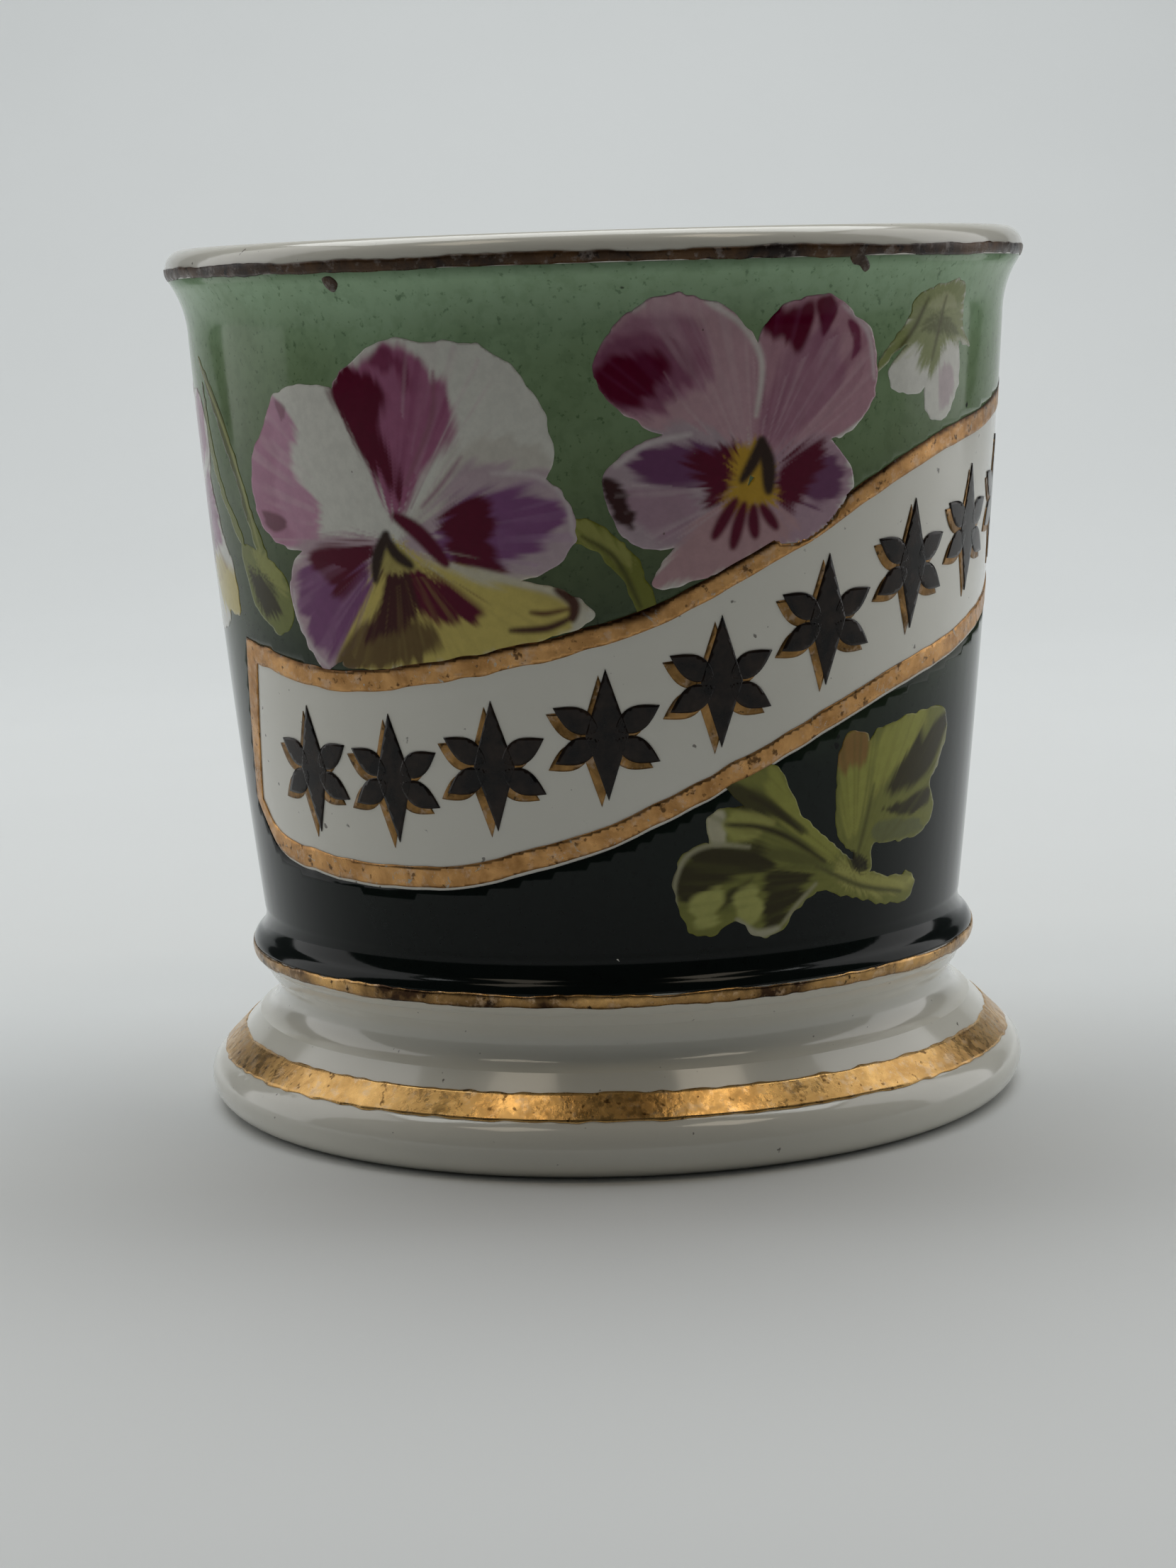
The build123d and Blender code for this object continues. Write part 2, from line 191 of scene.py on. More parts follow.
def cut_sheet(outlines, holes, spacing, spaced=False):
    """Triangles over the area inside any outline and outside every hole; gives places and faces."""
    row_share, clear_share = 0.87, 0.45
    edges_of = [line if spaced else evenly(line, spacing) for line in outlines + holes]
    rims = np.vstack(edges_of)
    low, high = rims.min(axis=0), rims.max(axis=0)
    rows = int((high[1] - low[1]) / (spacing * row_share)) + 1
    columns = int((high[0] - low[0]) / spacing) + 1
    column, row = np.meshgrid(np.arange(columns), np.arange(rows))
    across, up = low[0] + (column + 0.5 * (row % 2)) * spacing, low[1] + row * spacing * row_share
    grid = np.stack([across, up], axis=-1).reshape(-1, 2)

    def covered(places):
        kept = np.zeros(len(places), bool)
        for line in outlines:
            kept |= is_inside(places, line)
        for line in holes:
            kept &= ~is_inside(places, line)
        return kept

    grid = grid[covered(grid)]
    for line in edges_of:
        grid = grid[distance(grid, np.vstack([line, line[:1]])) > spacing * clear_share]
    edges, start = [], 0
    for line in edges_of:
        edges += [(start + k, start + (k + 1) % len(line)) for k in range(len(line))]
        start += len(line)
    places = [Vector(place) for place in np.vstack([rims, grid])]
    cut = delaunay_2d_cdt(places, edges, [], 0, 1e-5)
    places = np.array([tuple(place) for place in cut[0]])
    faces = np.array([tuple(face) for face in cut[2]])
    faces = faces[covered(places[faces].mean(axis=1))]
    used = np.unique(faces)
    number = np.full(len(places), -1)
    number[used] = np.arange(len(used))
    return places[used], number[faces]


def around(places, eye):
    """How far each place is from an eye, and its angle round the eye."""
    x, y = places.T
    return np.hypot(x - eye[0], y - eye[1]), np.arctan2(y - eye[1], x - eye[0])


class Painting:
    """Colours laid one over another on the points of a sheet."""

    def __init__(self, places, base):
        self.places = places
        self.colours = np.tile(np.array(base, float), (len(places), 1))

    def near(self, line):
        """Which places are within a margin of the box round a line."""
        margin = 2
        low, high = line.min(axis=0) - margin, line.max(axis=0) + margin
        return np.all((self.places > low) & (self.places < high), axis=1)

    def lay(self, colour, amount):
        """Covers each place with a colour by an amount from 0 to 1."""
        self.colours += (np.array(colour) - self.colours) * amount[:, None]

    def wash(self, outline, colour, strength, eye, seed):
        """A flat of colour inside an outline, its edge drawn out in streaks away from an eye."""
        line = smooth(outline, closed=True, per_side=5)
        near = self.near(line)
        places = self.places[near]
        depth = distance(places, np.vstack([line, line[:1]]))
        depth = np.where(is_inside(places, line), depth, -depth)
        reach, turn = around(places, eye)
        broad, thin = noise(turn * 16, reach * 0.18, seed), noise(turn * 50, reach * 0.25, seed)
        rough = 0.9 * broad + 0.4 * thin - 0.65
        extent = (line.max(axis=0) - line.min(axis=0)).min()
        soft, ragged = min(0.6, 0.12 * extent), min(1.5, 0.26 * extent)
        amount = np.zeros(len(self.places))
        amount[near] = ramp(depth + ragged * rough, -soft, soft) * strength
        self.lay(colour, amount)

    def stroke(self, line, colour, width, soft=0.3):
        """A brush line, thick in its middle and thin at both ends."""
        line = smooth(line)
        near = self.near(line)
        places = self.places[near]
        reach = np.linspace(0, 1, len(line))
        breadth = width * (0.35 + 0.65 * np.sin(pi * reach) ** 0.7)
        gap = np.full(len(places), -9.0)
        for start, end, wide in zip(line[:-1], line[1:], breadth):
            gap = np.maximum(gap, wide / 2 - distance(places, np.array([start, end])))
        amount = np.zeros(len(self.places))
        amount[near] = ramp(gap, -soft, soft)
        self.lay(colour, amount)

    def streak(self, outline, colour, strength, eye, seed):
        """Thin streaks of colour that run out from an eye, inside an outline."""
        line = smooth(outline, closed=True, per_side=5)
        reach, turn = around(self.places, eye)
        lines = ramp(noise(turn * 30, reach * 0.13, seed), 0.45, 1.0)
        amount = np.where(is_inside(self.places, line), lines, 0.0) * strength
        self.lay(colour, amount)


def paint_sheet(name, outlines, spacing, lift, base):
    """A sheet on the wall inside smooth, slightly unsteady outlines, and the painting for it."""
    unsteady = 0.45
    lines = [smooth(outline, closed=True, per_side=12) for outline in outlines]
    for line in lines:
        line += unsteady * (np.stack([noise(*line.T * 1.3, 7), noise(*line.T * 1.3, 8)], axis=-1) - 0.5)
    places, faces = cut_sheet(lines, [], spacing)
    made = mesh_object(name, on_wall(places[:, 0], places[:, 1], lift), faces)
    thicken(made, lift + 0.03)
    return made, Painting(places, base)


def store_colours(made, painting):
    """Puts a painting's colours on its sheet, as an attribute named paint."""
    colours = np.concatenate([np.clip(painting.colours, 0, 1), np.ones((len(painting.places), 1))], axis=1)
    attribute = made.data.attributes.new("paint", "FLOAT_COLOR", "POINT")
    attribute.data.foreach_set("color", colours.astype(np.float32).ravel())


# ---------------- ground, gilding and ornament

BANNER_TOP = [(-45, 51), (-29, 48.8), (-10, 51.2), (4, 55), (17, 61), (34, 69), (55, 73.5), (70, 77)]
BANNER_FOOT = [
    (-49, 34), (-44, 29.6), (-36, 28), (-24, 27.4), (-14, 28.2),
    (0, 32), (16, 39), (30, 44.6), (52, 50), (68, 54),
]
GILT_WIDTH = 2.1
GILT_WAVER = 0.28
RIM_LINE = (87.0, 88.1)
WAIST_LINE = (16.0, 17.3)
FOOT_BAND = ((39.8, 8.0), (42.1, 5.7))
MOTIF_PLACES = np.linspace(-34, 56, 9)
LOZENGE = [(0, 6.4), (2.1, 0), (0, -6.4), (-2.1, 0)]
LEAF_LENGTH, LEAF_WIDTH, LEAF_ROOT = 4.9, 2.5, 0.9
LEAF_TURNS = (28, 152, 208, 332)


def edge_height(edge, place):
    """The height of a banner edge at an unrolled place, on a smooth curve through its points."""
    index = max(k for k, point in enumerate(edge[:-1]) if point[0] <= place or k == 0)
    (left, low), (right, high) = edge[index], edge[index + 1]
    before, after = edge[max(index - 1, 0)], edge[min(index + 2, len(edge) - 1)]
    slope_left = (high - before[1]) / (right - before[0])
    slope_right = (after[1] - low) / (after[0] - left)
    width = right - left
    t = (place - left) / width
    return (
        low * (1 + 2 * t) * (1 - t) ** 2 + high * t * t * (3 - 2 * t)
        + slope_left * width * t * (1 - t) ** 2 - slope_right * width * t * t * (1 - t)
    )


def banner_outline(inset, waver, foot_way=1):
    """The outline of the banner, moved in by an inset, or out at its foot with a foot_way of -1."""
    sides = []
    for edge, way, seed in ((BANNER_TOP, -1, 5), (BANNER_FOOT, foot_way, 6)):
        places = np.linspace(edge[0][0] + inset, edge[-1][0] - inset, 160)
        line = np.array([(place, edge_height(edge, place) + way * inset) for place in places])
        line[:, 1] += waver * (noise(line[:, 0] * 0.5, line[:, 0] * 0, seed) - 0.5)
        sides.append(line)
    return np.vstack([sides[0], sides[1][::-1]])


def ring_faces(columns, rows):
    """Quads between closed rings of points, facing out when the rings go up."""
    faces = []
    for row in range(rows):
        for column in range(columns):
            beside = (column + 1) % columns
            faces.append((row * columns + column, row * columns + beside,
                          (row + 1) * columns + beside, (row + 1) * columns + column))
    return faces


def ring_piece(name, low, high, rows, seed):
    """A gilt line all round the wall between two heights, with slightly uneven edges."""
    columns, lift, waver = 720, 0.10, 0.35
    across = np.arange(columns) / columns * 2 * BACK - BACK
    turn = 2 * pi * np.arange(columns) / columns
    shares = np.arange(rows + 1) / rows
    ragged = [
        waver * (noise(8 * np.cos(turn) + 20, 8 * np.sin(turn) + 20, seed + k) - 0.5)
        + 0.5 * waver * (noise(40 * np.cos(turn) + 90, 40 * np.sin(turn) + 90, seed + k) - 0.5)
        for k in (0, 1)
    ]
    heights = np.array([(low + ragged[0]) * (1 - share) + (high + ragged[1]) * share for share in shares])
    points = on_wall(np.tile(across, (rows + 1, 1)), heights, lift).reshape(-1, 3)
    made = mesh_object(name, points, ring_faces(columns, rows))
    thicken(made, lift + 0.03)
    return made


def build_ground():
    """The green enamel, all round the wall but for the banner, with closer rows over the bead."""
    bead, closer, columns, rows = 22.0, 4, 251, 84
    foot = bead - (bead - GROUND_FOOT) * closer
    across, up = np.linspace(-BACK, BACK, columns + 1), np.linspace(foot, GROUND_TOP, rows + 1)
    sides = [
        np.stack([across[:-1], np.full(columns, foot)], axis=-1),
        np.stack([np.full(rows, BACK), up[:-1]], axis=-1),
        np.stack([across[:0:-1], np.full(columns, GROUND_TOP)], axis=-1),
        np.stack([np.full(rows, -BACK), up[:0:-1]], axis=-1),
    ]
    hole = evenly(banner_outline(0.3, 0.2, foot_way=-1), 0.8)
    places, faces = cut_sheet([np.vstack(sides)], [hole], 1.0, spaced=True)
    heights = np.where(places[:, 1] < bead, bead - (bead - places[:, 1]) / closer, places[:, 1])
    made = mesh_object("ground_enamel_coat", on_wall(places[:, 0], heights, 0.05), faces)
    mesh = bmesh.new()
    mesh.from_mesh(made.data)
    bmesh.ops.remove_doubles(mesh, verts=mesh.verts, dist=0.0002)
    mesh.to_mesh(made.data)
    mesh.free()
    thicken(made, 0.08)
    finish_piece(made, materials["green_enamel"], "ground_enamel")


def build_gilding():
    """The worn gilt border of the banner and the gilt lines at the rim and the waist."""
    outside, inside = banner_outline(0, GILT_WAVER), banner_outline(GILT_WIDTH, GILT_WAVER)
    places, faces = cut_sheet([outside], [inside], 0.35)
    kept = ~is_inside(places[faces].mean(axis=1), smooth(RIGHT_PANSY["petals"][3], closed=True))
    border = mesh_object("banner_border", on_wall(places[:, 0], places[:, 1], 0.10), faces[kept])
    thicken(border, 0.13)
    shadows = Painting(places, (1, 1, 1))
    edge = np.linspace(-45, 69, 60)
    line = [(place, edge_height(BANNER_TOP, place) - 0.05) for place in edge]
    shadows.stroke(line, (0.10, 0.07, 0.05), 0.7, 0.25)
    shadows.stroke([(-2, 53.3), (3, 54.4), (5.5, 55.4)], (0.06, 0.04, 0.03), 1.5, 0.4)
    store_colours(border, shadows)
    finish_piece(border, materials["worn_gilding"], "banner_gilding")
    rim = ring_piece("rim_line", *RIM_LINE, rows=4, seed=11)
    finish_piece(rim, materials["dark_gilding"], "rim_gilt_line")
    specks = [
        [(22.6, 87.2), (24.2, 87), (25.2, 86), (24.8, 85.5), (24, 86.1), (23.2, 86.3)],
        [(-25, 86.4), (-24, 86.6), (-23.5, 85.9), (-24.2, 85.1), (-24.9, 85.6)],
    ]
    places, faces = cut_sheet([smooth(speck, closed=True) for speck in specks], [], 0.25)
    drips = mesh_object("rim_drips", on_wall(places[:, 0], places[:, 1], 0.09), faces)
    thicken(drips, 0.12)
    finish_piece(drips, materials["dark_gilding"], "rim_gilt_line")
    waist = ring_piece("waist_line", *WAIST_LINE, rows=5, seed=14)
    finish_piece(waist, materials["waist_gilding"], "waist_gilt_line")


def build_foot_band():
    """The burnished band on the slope of the foot, brushed on with soft, uneven edges."""
    columns, rows, lift = 900, 10, 0.05
    turn = 2 * pi * np.arange(columns) / columns
    (top_radius, top), (foot_radius, foot) = FOOT_BAND
    rings = []
    for row in range(rows + 1):
        share = row / rows
        ragged = np.zeros(columns)
        if row in (0, rows):
            ragged = 0.10 * (noise(30 * np.cos(turn) + 60, 30 * np.sin(turn) + 60, row) - 0.5)
        along = share + ragged * (1 if row else -1)
        radius = top_radius + (foot_radius - top_radius) * along + lift
        height = top + (foot - top) * along + lift
        rings.append(np.stack([radius * np.sin(turn), -radius * np.cos(turn), height], axis=-1) * MM)
    faces = [face[::-1] for face in ring_faces(columns, rows)]
    made = mesh_object("foot_band", np.vstack(rings), faces)
    thicken(made, 0.09)
    finish_piece(made, materials["burnished_gilding"], "foot_gilt_band")


def motif_outlines(shift):
    """The outlines of every lozenge and leaf of the ornament, moved by a shift."""
    outlines, half = [], 12
    for place in MOTIF_PLACES:
        height = (edge_height(BANNER_TOP, place) + edge_height(BANNER_FOOT, place)) / 2
        centre = np.array([place + shift[0], height + shift[1]])
        sides = [np.linspace(a, b, 9)[:-1] for a, b in zip(np.array(LOZENGE), np.roll(LOZENGE, -1, axis=0))]
        outlines.append(np.vstack(sides) + centre)
        for turn in LEAF_TURNS:
            reach = np.concatenate([np.linspace(0, 1, half), np.linspace(1, 0, half)[1:-1]])
            way = np.where(np.arange(len(reach)) < half, 1, -1)
            side = np.sin(pi * reach ** 0.85) * LEAF_WIDTH / 2 * way
            out = LEAF_ROOT + LEAF_LENGTH * reach
            across, up = cos(radians(turn)), sin(radians(turn))
            leaf = np.stack([out * across - side * up, out * up + side * across], axis=-1)
            outlines.append(leaf + centre)
    return outlines


def build_ornament():
    """The black ornament on the banner and the gold shade down its left."""
    shade = ("ornament_shade", (-0.7, -0.6), 0.06, "shade_gilding", "burnished_gilding")
    black = ("ornament", (0, 0), 0.10, "black_enamel", "black_enamel")
    for name, shift, lift, material, slot in (shade, black):
        sheets = [cut_sheet([outline], [], 0.35) for outline in motif_outlines(shift)]
        starts = np.cumsum([0] + [len(places) for places, _ in sheets])
        places = np.vstack([places for places, _ in sheets])
        faces = np.vstack([faces + start for (_, faces), start in zip(sheets, starts)])
        made = mesh_object(name, on_wall(places[:, 0], places[:, 1], lift), faces)
        thicken(made, lift + 0.03)
        finish_piece(made, materials[material], "banner_" + name)


# ---------------- flowers and leaves

WHITE = (0.70, 0.69, 0.63)
SHADED_WHITE = (0.52, 0.47, 0.41)
CRIMSON = (0.105, 0.001, 0.020)
YELLOW = (0.61, 0.50, 0.14)
CHEVRON = (0.035, 0.018, 0.012)
LEAF_YELLOW = (0.36, 0.36, 0.08)
LEAF_GREEN = (0.23, 0.235, 0.055)
LEAF_DARK = (0.045, 0.037, 0.01)

# A flower's petals are its outline, in unrolled mm. Its washes and streaks are (colour, strength,
# points) and its strokes are (colour, width, points). Its eye is where its streaks run out from.
LEFT_PANSY = {"eye": (-20, 61.5)}
LEFT_PANSY["petals"] = [
    [(-26, 76), (-24, 78), (-20, 80.5), (-15, 80.3), (-11, 80), (-7.5, 77.5), (-4.7, 72.5), (-5, 67.5),
     (-12, 66), (-19, 61), (-21.5, 64), (-24.5, 72)],
    [(-26, 76), (-31, 76.5), (-34, 75.3), (-36, 72.3), (-38.8, 69), (-39, 64.5), (-37, 61.7),
     (-33, 60.4), (-24, 60.5), (-20, 62), (-22, 69), (-24.5, 73)],
    [(-31, 60.8), (-34, 58), (-34, 54), (-32, 50.5), (-30, 48.6), (-26, 51.2), (-23, 55), (-20, 60),
     (-25, 62)],
    [(-19, 62), (-15.5, 65), (-12.5, 68), (-8.5, 68.2), (-5, 67.3), (-2.5, 63.5), (-3.5, 60),
     (-8, 57.5), (-13, 57.5), (-19, 60)],
    [(-21, 61), (-24.5, 54), (-27.5, 49.3), (-18, 49.5), (-8, 51.5), (-1.3, 54), (-3.5, 56.5), (-9, 58),
     (-17, 60)],
]
LEFT_PANSY["washes"] = [
    (SHADED_WHITE, 0.5, [(-19, 63), (-12, 71), (-6, 70), (-5, 67.5), (-12, 66), (-19, 61)]),
    ((0.36, 0.12, 0.22), 1.0, [(-25, 77), (-20, 80), (-16.5, 79), (-14, 76), (-13.5, 72), (-17, 68),
     (-20, 64), (-23, 72)]),
    ((0.19, 0.03, 0.08), 0.9, [(-21.5, 78.5), (-19, 79.8), (-17, 77.5), (-17.3, 75), (-19, 77.5)]),
    (CRIMSON, 1.0, [(-26.2, 75.7), (-24.5, 77.8), (-21.7, 77.7), (-19.8, 75.5), (-21, 72.5),
     (-19.4, 68.5), (-19.4, 65.5), (-22.3, 69), (-24.5, 72.5)]),
    ((0.54, 0.29, 0.40), 1.0, [(-34, 75.3), (-31.5, 72), (-32, 68.5), (-29.5, 66), (-29.5, 61),
     (-35, 60.5), (-39.5, 64.5), (-39.3, 69), (-36, 72.5)]),
    ((0.45, 0.21, 0.31), 0.8, [(-36, 73), (-34.5, 70), (-35.5, 66), (-33, 61.5), (-38, 61), (-40, 66)]),
    ((0.19, 0.07, 0.10), 0.9, [(-38, 64.2), (-35, 64), (-33.7, 63), (-36, 62)]),
    ((0.19, 0.07, 0.10), 0.6, [(-33.7, 75), (-32, 74.3), (-33, 72.8)]),
    ((0.49, 0.36, 0.40), 1.0, [(-31, 61), (-34.5, 58), (-34, 53), (-30, 48), (-25, 51), (-20, 60),
     (-25, 62)]),
    ((0.22, 0.08, 0.20), 1.0, [(-32, 58.5), (-33, 55.5), (-31.5, 52), (-29.5, 50.2), (-26, 52.5),
     (-23, 57.5), (-26, 60.5)]),
    (CRIMSON, 1.0, [(-30.5, 60), (-26.5, 61.3), (-22.5, 61), (-24.5, 58.5), (-27, 56), (-28.5, 57.2)]),
    ((0.49, 0.38, 0.42), 1.0, [(-19, 62), (-15.5, 65), (-12.5, 68.5), (-8.5, 68.5), (-4.5, 67.5),
     (-2, 63.5), (-3, 59.5), (-8, 57), (-13, 57), (-19, 60)]),
    ((0.22, 0.08, 0.21), 1.0, [(-16, 62), (-13, 65.5), (-9, 66.8), (-5.5, 65.8), (-3.7, 63.5),
     (-5.5, 60.8), (-11.5, 58.3), (-16, 60)]),
    (CRIMSON, 1.0, [(-15, 63.5), (-11.5, 65.7), (-10, 63.5), (-10.3, 60.5), (-9.5, 57.8), (-13, 58.2),
     (-14.5, 60.5)]),
    (YELLOW, 1.0, [(-21, 61), (-25, 54), (-28, 49), (-18, 49.3), (-8, 51.2), (-1, 54), (-3.5, 57),
     (-9, 58), (-17, 59.8)]),
    ((0.62, 0.58, 0.46), 0.9, [(-17, 60), (-9, 58.4), (-3, 57.3), (-0.6, 54), (-2.6, 54.8), (-6, 56.6),
     (-13, 57.8)]),
    ((0.62, 0.60, 0.52), 0.9, [(-3, 57), (-0.5, 54.3), (-3.5, 52.5), (-2.6, 54.6)]),
    ((0.10, 0.05, 0.02), 0.9, [(-25.5, 53), (-19, 54), (-16.5, 52.5), (-18, 50), (-28, 49)]),
    ((0.06, 0.012, 0.012), 1.0, [(-21, 60), (-18, 58.5), (-17.3, 55.5), (-20, 53), (-24.5, 51.8),
     (-22.5, 56)]),
    (CRIMSON, 1.0, [(-18.7, 58.5), (-15.5, 58), (-11.5, 55), (-13.5, 53.7), (-17.8, 54.3)]),
    ((0.45, 0.38, 0.12), 0.9, [(-21, 61.3), (-19, 60.6), (-18, 58.8), (-20.3, 58.5), (-22, 59)]),
]
LEFT_PANSY["strokes"] = [
    (CHEVRON, 1.3, [(-22.7, 57.6), (-22.2, 60), (-21, 62.2)]),
    (CHEVRON, 1.2, [(-21.2, 62.2), (-20.2, 60.4), (-18.6, 59.2)]),
    (CRIMSON, 1.6, [(-20, 64), (-17.5, 62.3), (-15, 59.5)]),
    ((0.07, 0.025, 0.015), 1.1, [(-4.6, 56.9), (-3, 55.6), (-3.1, 54)]),
    ((0.07, 0.025, 0.015), 0.7, [(-3, 54.3), (-5.5, 53.2), (-9, 53)]),
    ((0.12, 0.05, 0.02), 0.5, [(-3.4, 55), (-5.5, 54.6), (-7, 54.7)]),
    ((0.30, 0.12, 0.18), 0.5, [(-15, 77.5), (-15.5, 73), (-18.5, 67)]),
    ((0.62, 0.55, 0.56), 0.5, [(-2.8, 62), (-3.4, 65.5), (-6, 67.6), (-10, 67.9)]),
    ((0.60, 0.52, 0.54), 0.5, [(-33.8, 56.5), (-33.6, 53.5), (-31.8, 50.6), (-29.8, 49)]),
    ((0.36, 0.20, 0.26), 0.35, [(-12.8, 69.5), (-15, 66.8), (-17, 64.8)]),
]
LEFT_PANSY["streaks"] = [
    ((0.60, 0.42, 0.48), 0.55, [(-19, 80), (-11, 79), (-9, 72), (-16, 64), (-18, 72)]),
    ((0.22, 0.05, 0.12), 0.55, [(-20, 79), (-15, 78), (-14, 72), (-19, 64), (-20, 72)]),
    ((0.70, 0.60, 0.60), 0.4, [(-34, 76), (-30, 72), (-30, 62), (-38, 61), (-40, 68)]),
    ((0.42, 0.25, 0.38), 0.5, [(-34, 59), (-31, 50), (-25, 52), (-24, 58)]),
    ((0.42, 0.26, 0.42), 0.5, [(-9.5, 66), (-4, 67), (-3, 61), (-9, 59)]),
    ((0.40, 0.31, 0.09), 0.4, [(-19, 58), (-3, 56.5), (-5, 52), (-26, 49.5)]),
]
RIGHT_PANSY = {"eye": (14, 66)}
RIGHT_PANSY["petals"] = [
    [(-0.6, 77), (0.7, 80.5), (3, 82.7), (6, 84), (9.5, 83.5), (12.5, 81.7), (15, 78), (14.5, 72),
     (12.8, 67), (9.5, 71), (5, 71.3), (1.5, 73.7)],
    [(14.5, 79), (16, 82), (19, 83.4), (21.8, 83.5), (24.7, 81.5), (26.8, 79), (27.2, 74.5),
     (24.5, 70.8), (20, 69.3), (13.5, 67)],
    [(0, 66.5), (1.2, 68.7), (4, 70.5), (7.5, 71.5), (13, 69.5), (13, 65), (9, 61.5), (4.5, 60.3),
     (1.5, 62)],
    [(13.5, 66), (16.5, 68.5), (19, 69.6), (22, 69.8), (24.7, 65.7), (21, 61.3), (17, 60.3), (14, 62.5)],
    [(13.5, 66), (9, 63), (6, 60), (4.5, 56.7), (10, 57.7), (17.5, 61), (16, 64)],
]
RIGHT_PANSY["washes"] = [
    ((0.50, 0.31, 0.35), 1.0, [(-1, 77), (1, 81), (6, 84.5), (12, 82.5), (15.5, 78), (14.5, 72),
     (12.8, 66.5), (9.5, 71), (4, 71), (1, 73.7)]),
    ((0.36, 0.17, 0.24), 0.9, [(-0.6, 77), (1, 80.8), (5, 82.5), (9, 80.5), (10, 76.5), (6.5, 73.5),
     (2, 73.3)]),
    ((0.24, 0.08, 0.14), 0.9, [(-0.6, 77), (1, 80), (4, 81), (7.5, 79.7), (8.7, 77), (6.5, 74.2),
     (2, 73.5)]),
    (CRIMSON, 1.0, [(-0.5, 77), (1.5, 78.7), (4.5, 78.7), (6, 77.3), (5, 75), (2.5, 73.7), (0.5, 74.7)]),
    ((0.45, 0.25, 0.30), 1.0, [(14.5, 79), (16, 82.3), (19, 83.8), (22, 84), (25, 81.8), (27.3, 79),
     (27.5, 74.5), (24.5, 70.5), (20, 69), (13.5, 66.5)]),
    ((0.33, 0.15, 0.22), 0.8, [(16, 76), (18, 79.5), (22, 80), (23, 75), (18, 71), (15, 70)]),
    (CRIMSON, 1.0, [(15, 81), (17.3, 82.7), (19.7, 82.5), (20, 81), (18.5, 78.3), (16.5, 79.3)]),
    (CRIMSON, 1.0, [(20.2, 83), (21.8, 83.5), (22.6, 81.7), (21, 79.6), (20.5, 81.3)]),
    ((0.16, 0.02, 0.06), 0.9, [(23.7, 81), (25, 80.3), (25.2, 78.3), (24, 77.3), (24.2, 79.2)]),
    ((0.44, 0.34, 0.38), 1.0, [(-0.5, 66.5), (1, 69), (4, 71), (7.5, 72), (13, 69.7), (13, 65), (9, 61),
     (4.5, 60), (1, 61.7)]),
    ((0.15, 0.05, 0.13), 1.0, [(2.5, 68.3), (5.5, 70.3), (9, 70), (12.5, 69), (12, 66.5), (8, 66),
     (4.5, 66.5)]),
    ((0.35, 0.20, 0.27), 0.7, [(1.5, 66), (7, 66), (9, 63), (5, 61)]),
    (CRIMSON, 1.0, [(7.7, 69), (12.5, 69.8), (12.5, 67), (11, 64), (9.3, 64.2), (9, 66.5)]),
    ((0.04, 0.01, 0.01), 1.0, [(-0.2, 67), (1, 67), (2.5, 65), (2.7, 62.3), (0.7, 63.7)]),
    ((0.42, 0.28, 0.34), 1.0, [(13.5, 66), (16.5, 69), (19, 70), (22.3, 70.2), (25, 65.7), (21, 61),
     (17, 60), (14, 62.5)]),
    ((0.15, 0.05, 0.12), 1.0, [(18.5, 66), (20.5, 68.8), (22.7, 68.3), (23.3, 65.3), (20.5, 63.7)]),
    (CRIMSON, 1.0, [(16, 66), (17.5, 68.7), (21, 70), (21, 67.5), (19.3, 65), (18, 63.6), (16.5, 64.3)]),
    ((0.47, 0.29, 0.31), 1.0, [(13.5, 66), (9, 63), (5.7, 60), (4, 56.5), (10, 57.5), (18, 61),
     (16, 64)]),
    ((0.50, 0.30, 0.03), 1.0, [(12, 69.3), (14.7, 70), (16, 66), (15.8, 64), (11, 63.7), (11.7, 66)]),
]
RIGHT_PANSY["strokes"] = [
    ((0.66, 0.60, 0.57), 0.6, [(9.5, 83.2), (12.8, 81), (14.7, 77.5), (14.2, 72.5)]),
    ((0.62, 0.50, 0.53), 0.5, [(23, 82.5), (26, 79.8), (26.9, 75.5)]),
    ((0.62, 0.55, 0.56), 0.5, [(1.2, 68.2), (4, 70.2), (8, 71)]),
    (CHEVRON, 1.2, [(12.8, 66.4), (14, 68.3), (14.8, 70.2)]),
    (CHEVRON, 1.5, [(14.7, 70.2), (15.4, 68), (15.5, 65.4)]),
    (CRIMSON, 1.2, [(12.3, 64.7), (11.2, 63), (10.2, 61.3)]),
    (CRIMSON, 1.2, [(13.1, 64.3), (12.5, 62.3), (12, 60.3)]),
    (CRIMSON, 1.2, [(14, 64), (14, 62.5), (14.2, 61.2)]),
    (CRIMSON, 1.1, [(14.8, 64), (15.5, 63), (16.3, 61.9)]),
]
RIGHT_PANSY["streaks"] = [
    ((0.62, 0.45, 0.49), 0.5, [(5, 84), (13, 81), (14, 71), (11, 70), (6, 76)]),
    ((0.16, 0.03, 0.08), 0.55, [(0, 77), (2, 81), (8, 79), (8, 75), (3, 73)]),
    ((0.20, 0.05, 0.11), 0.5, [(15, 80), (20, 83.5), (26, 80), (24, 74), (16, 70)]),
    ((0.62, 0.44, 0.48), 0.45, [(17, 76), (24, 80), (27, 75), (20, 70), (14, 68)]),
    ((0.62, 0.52, 0.54), 0.5, [(1, 66), (5, 61), (11, 64), (8, 66)]),
]
SIDE_PANSY = {"eye": (-58, 64)}
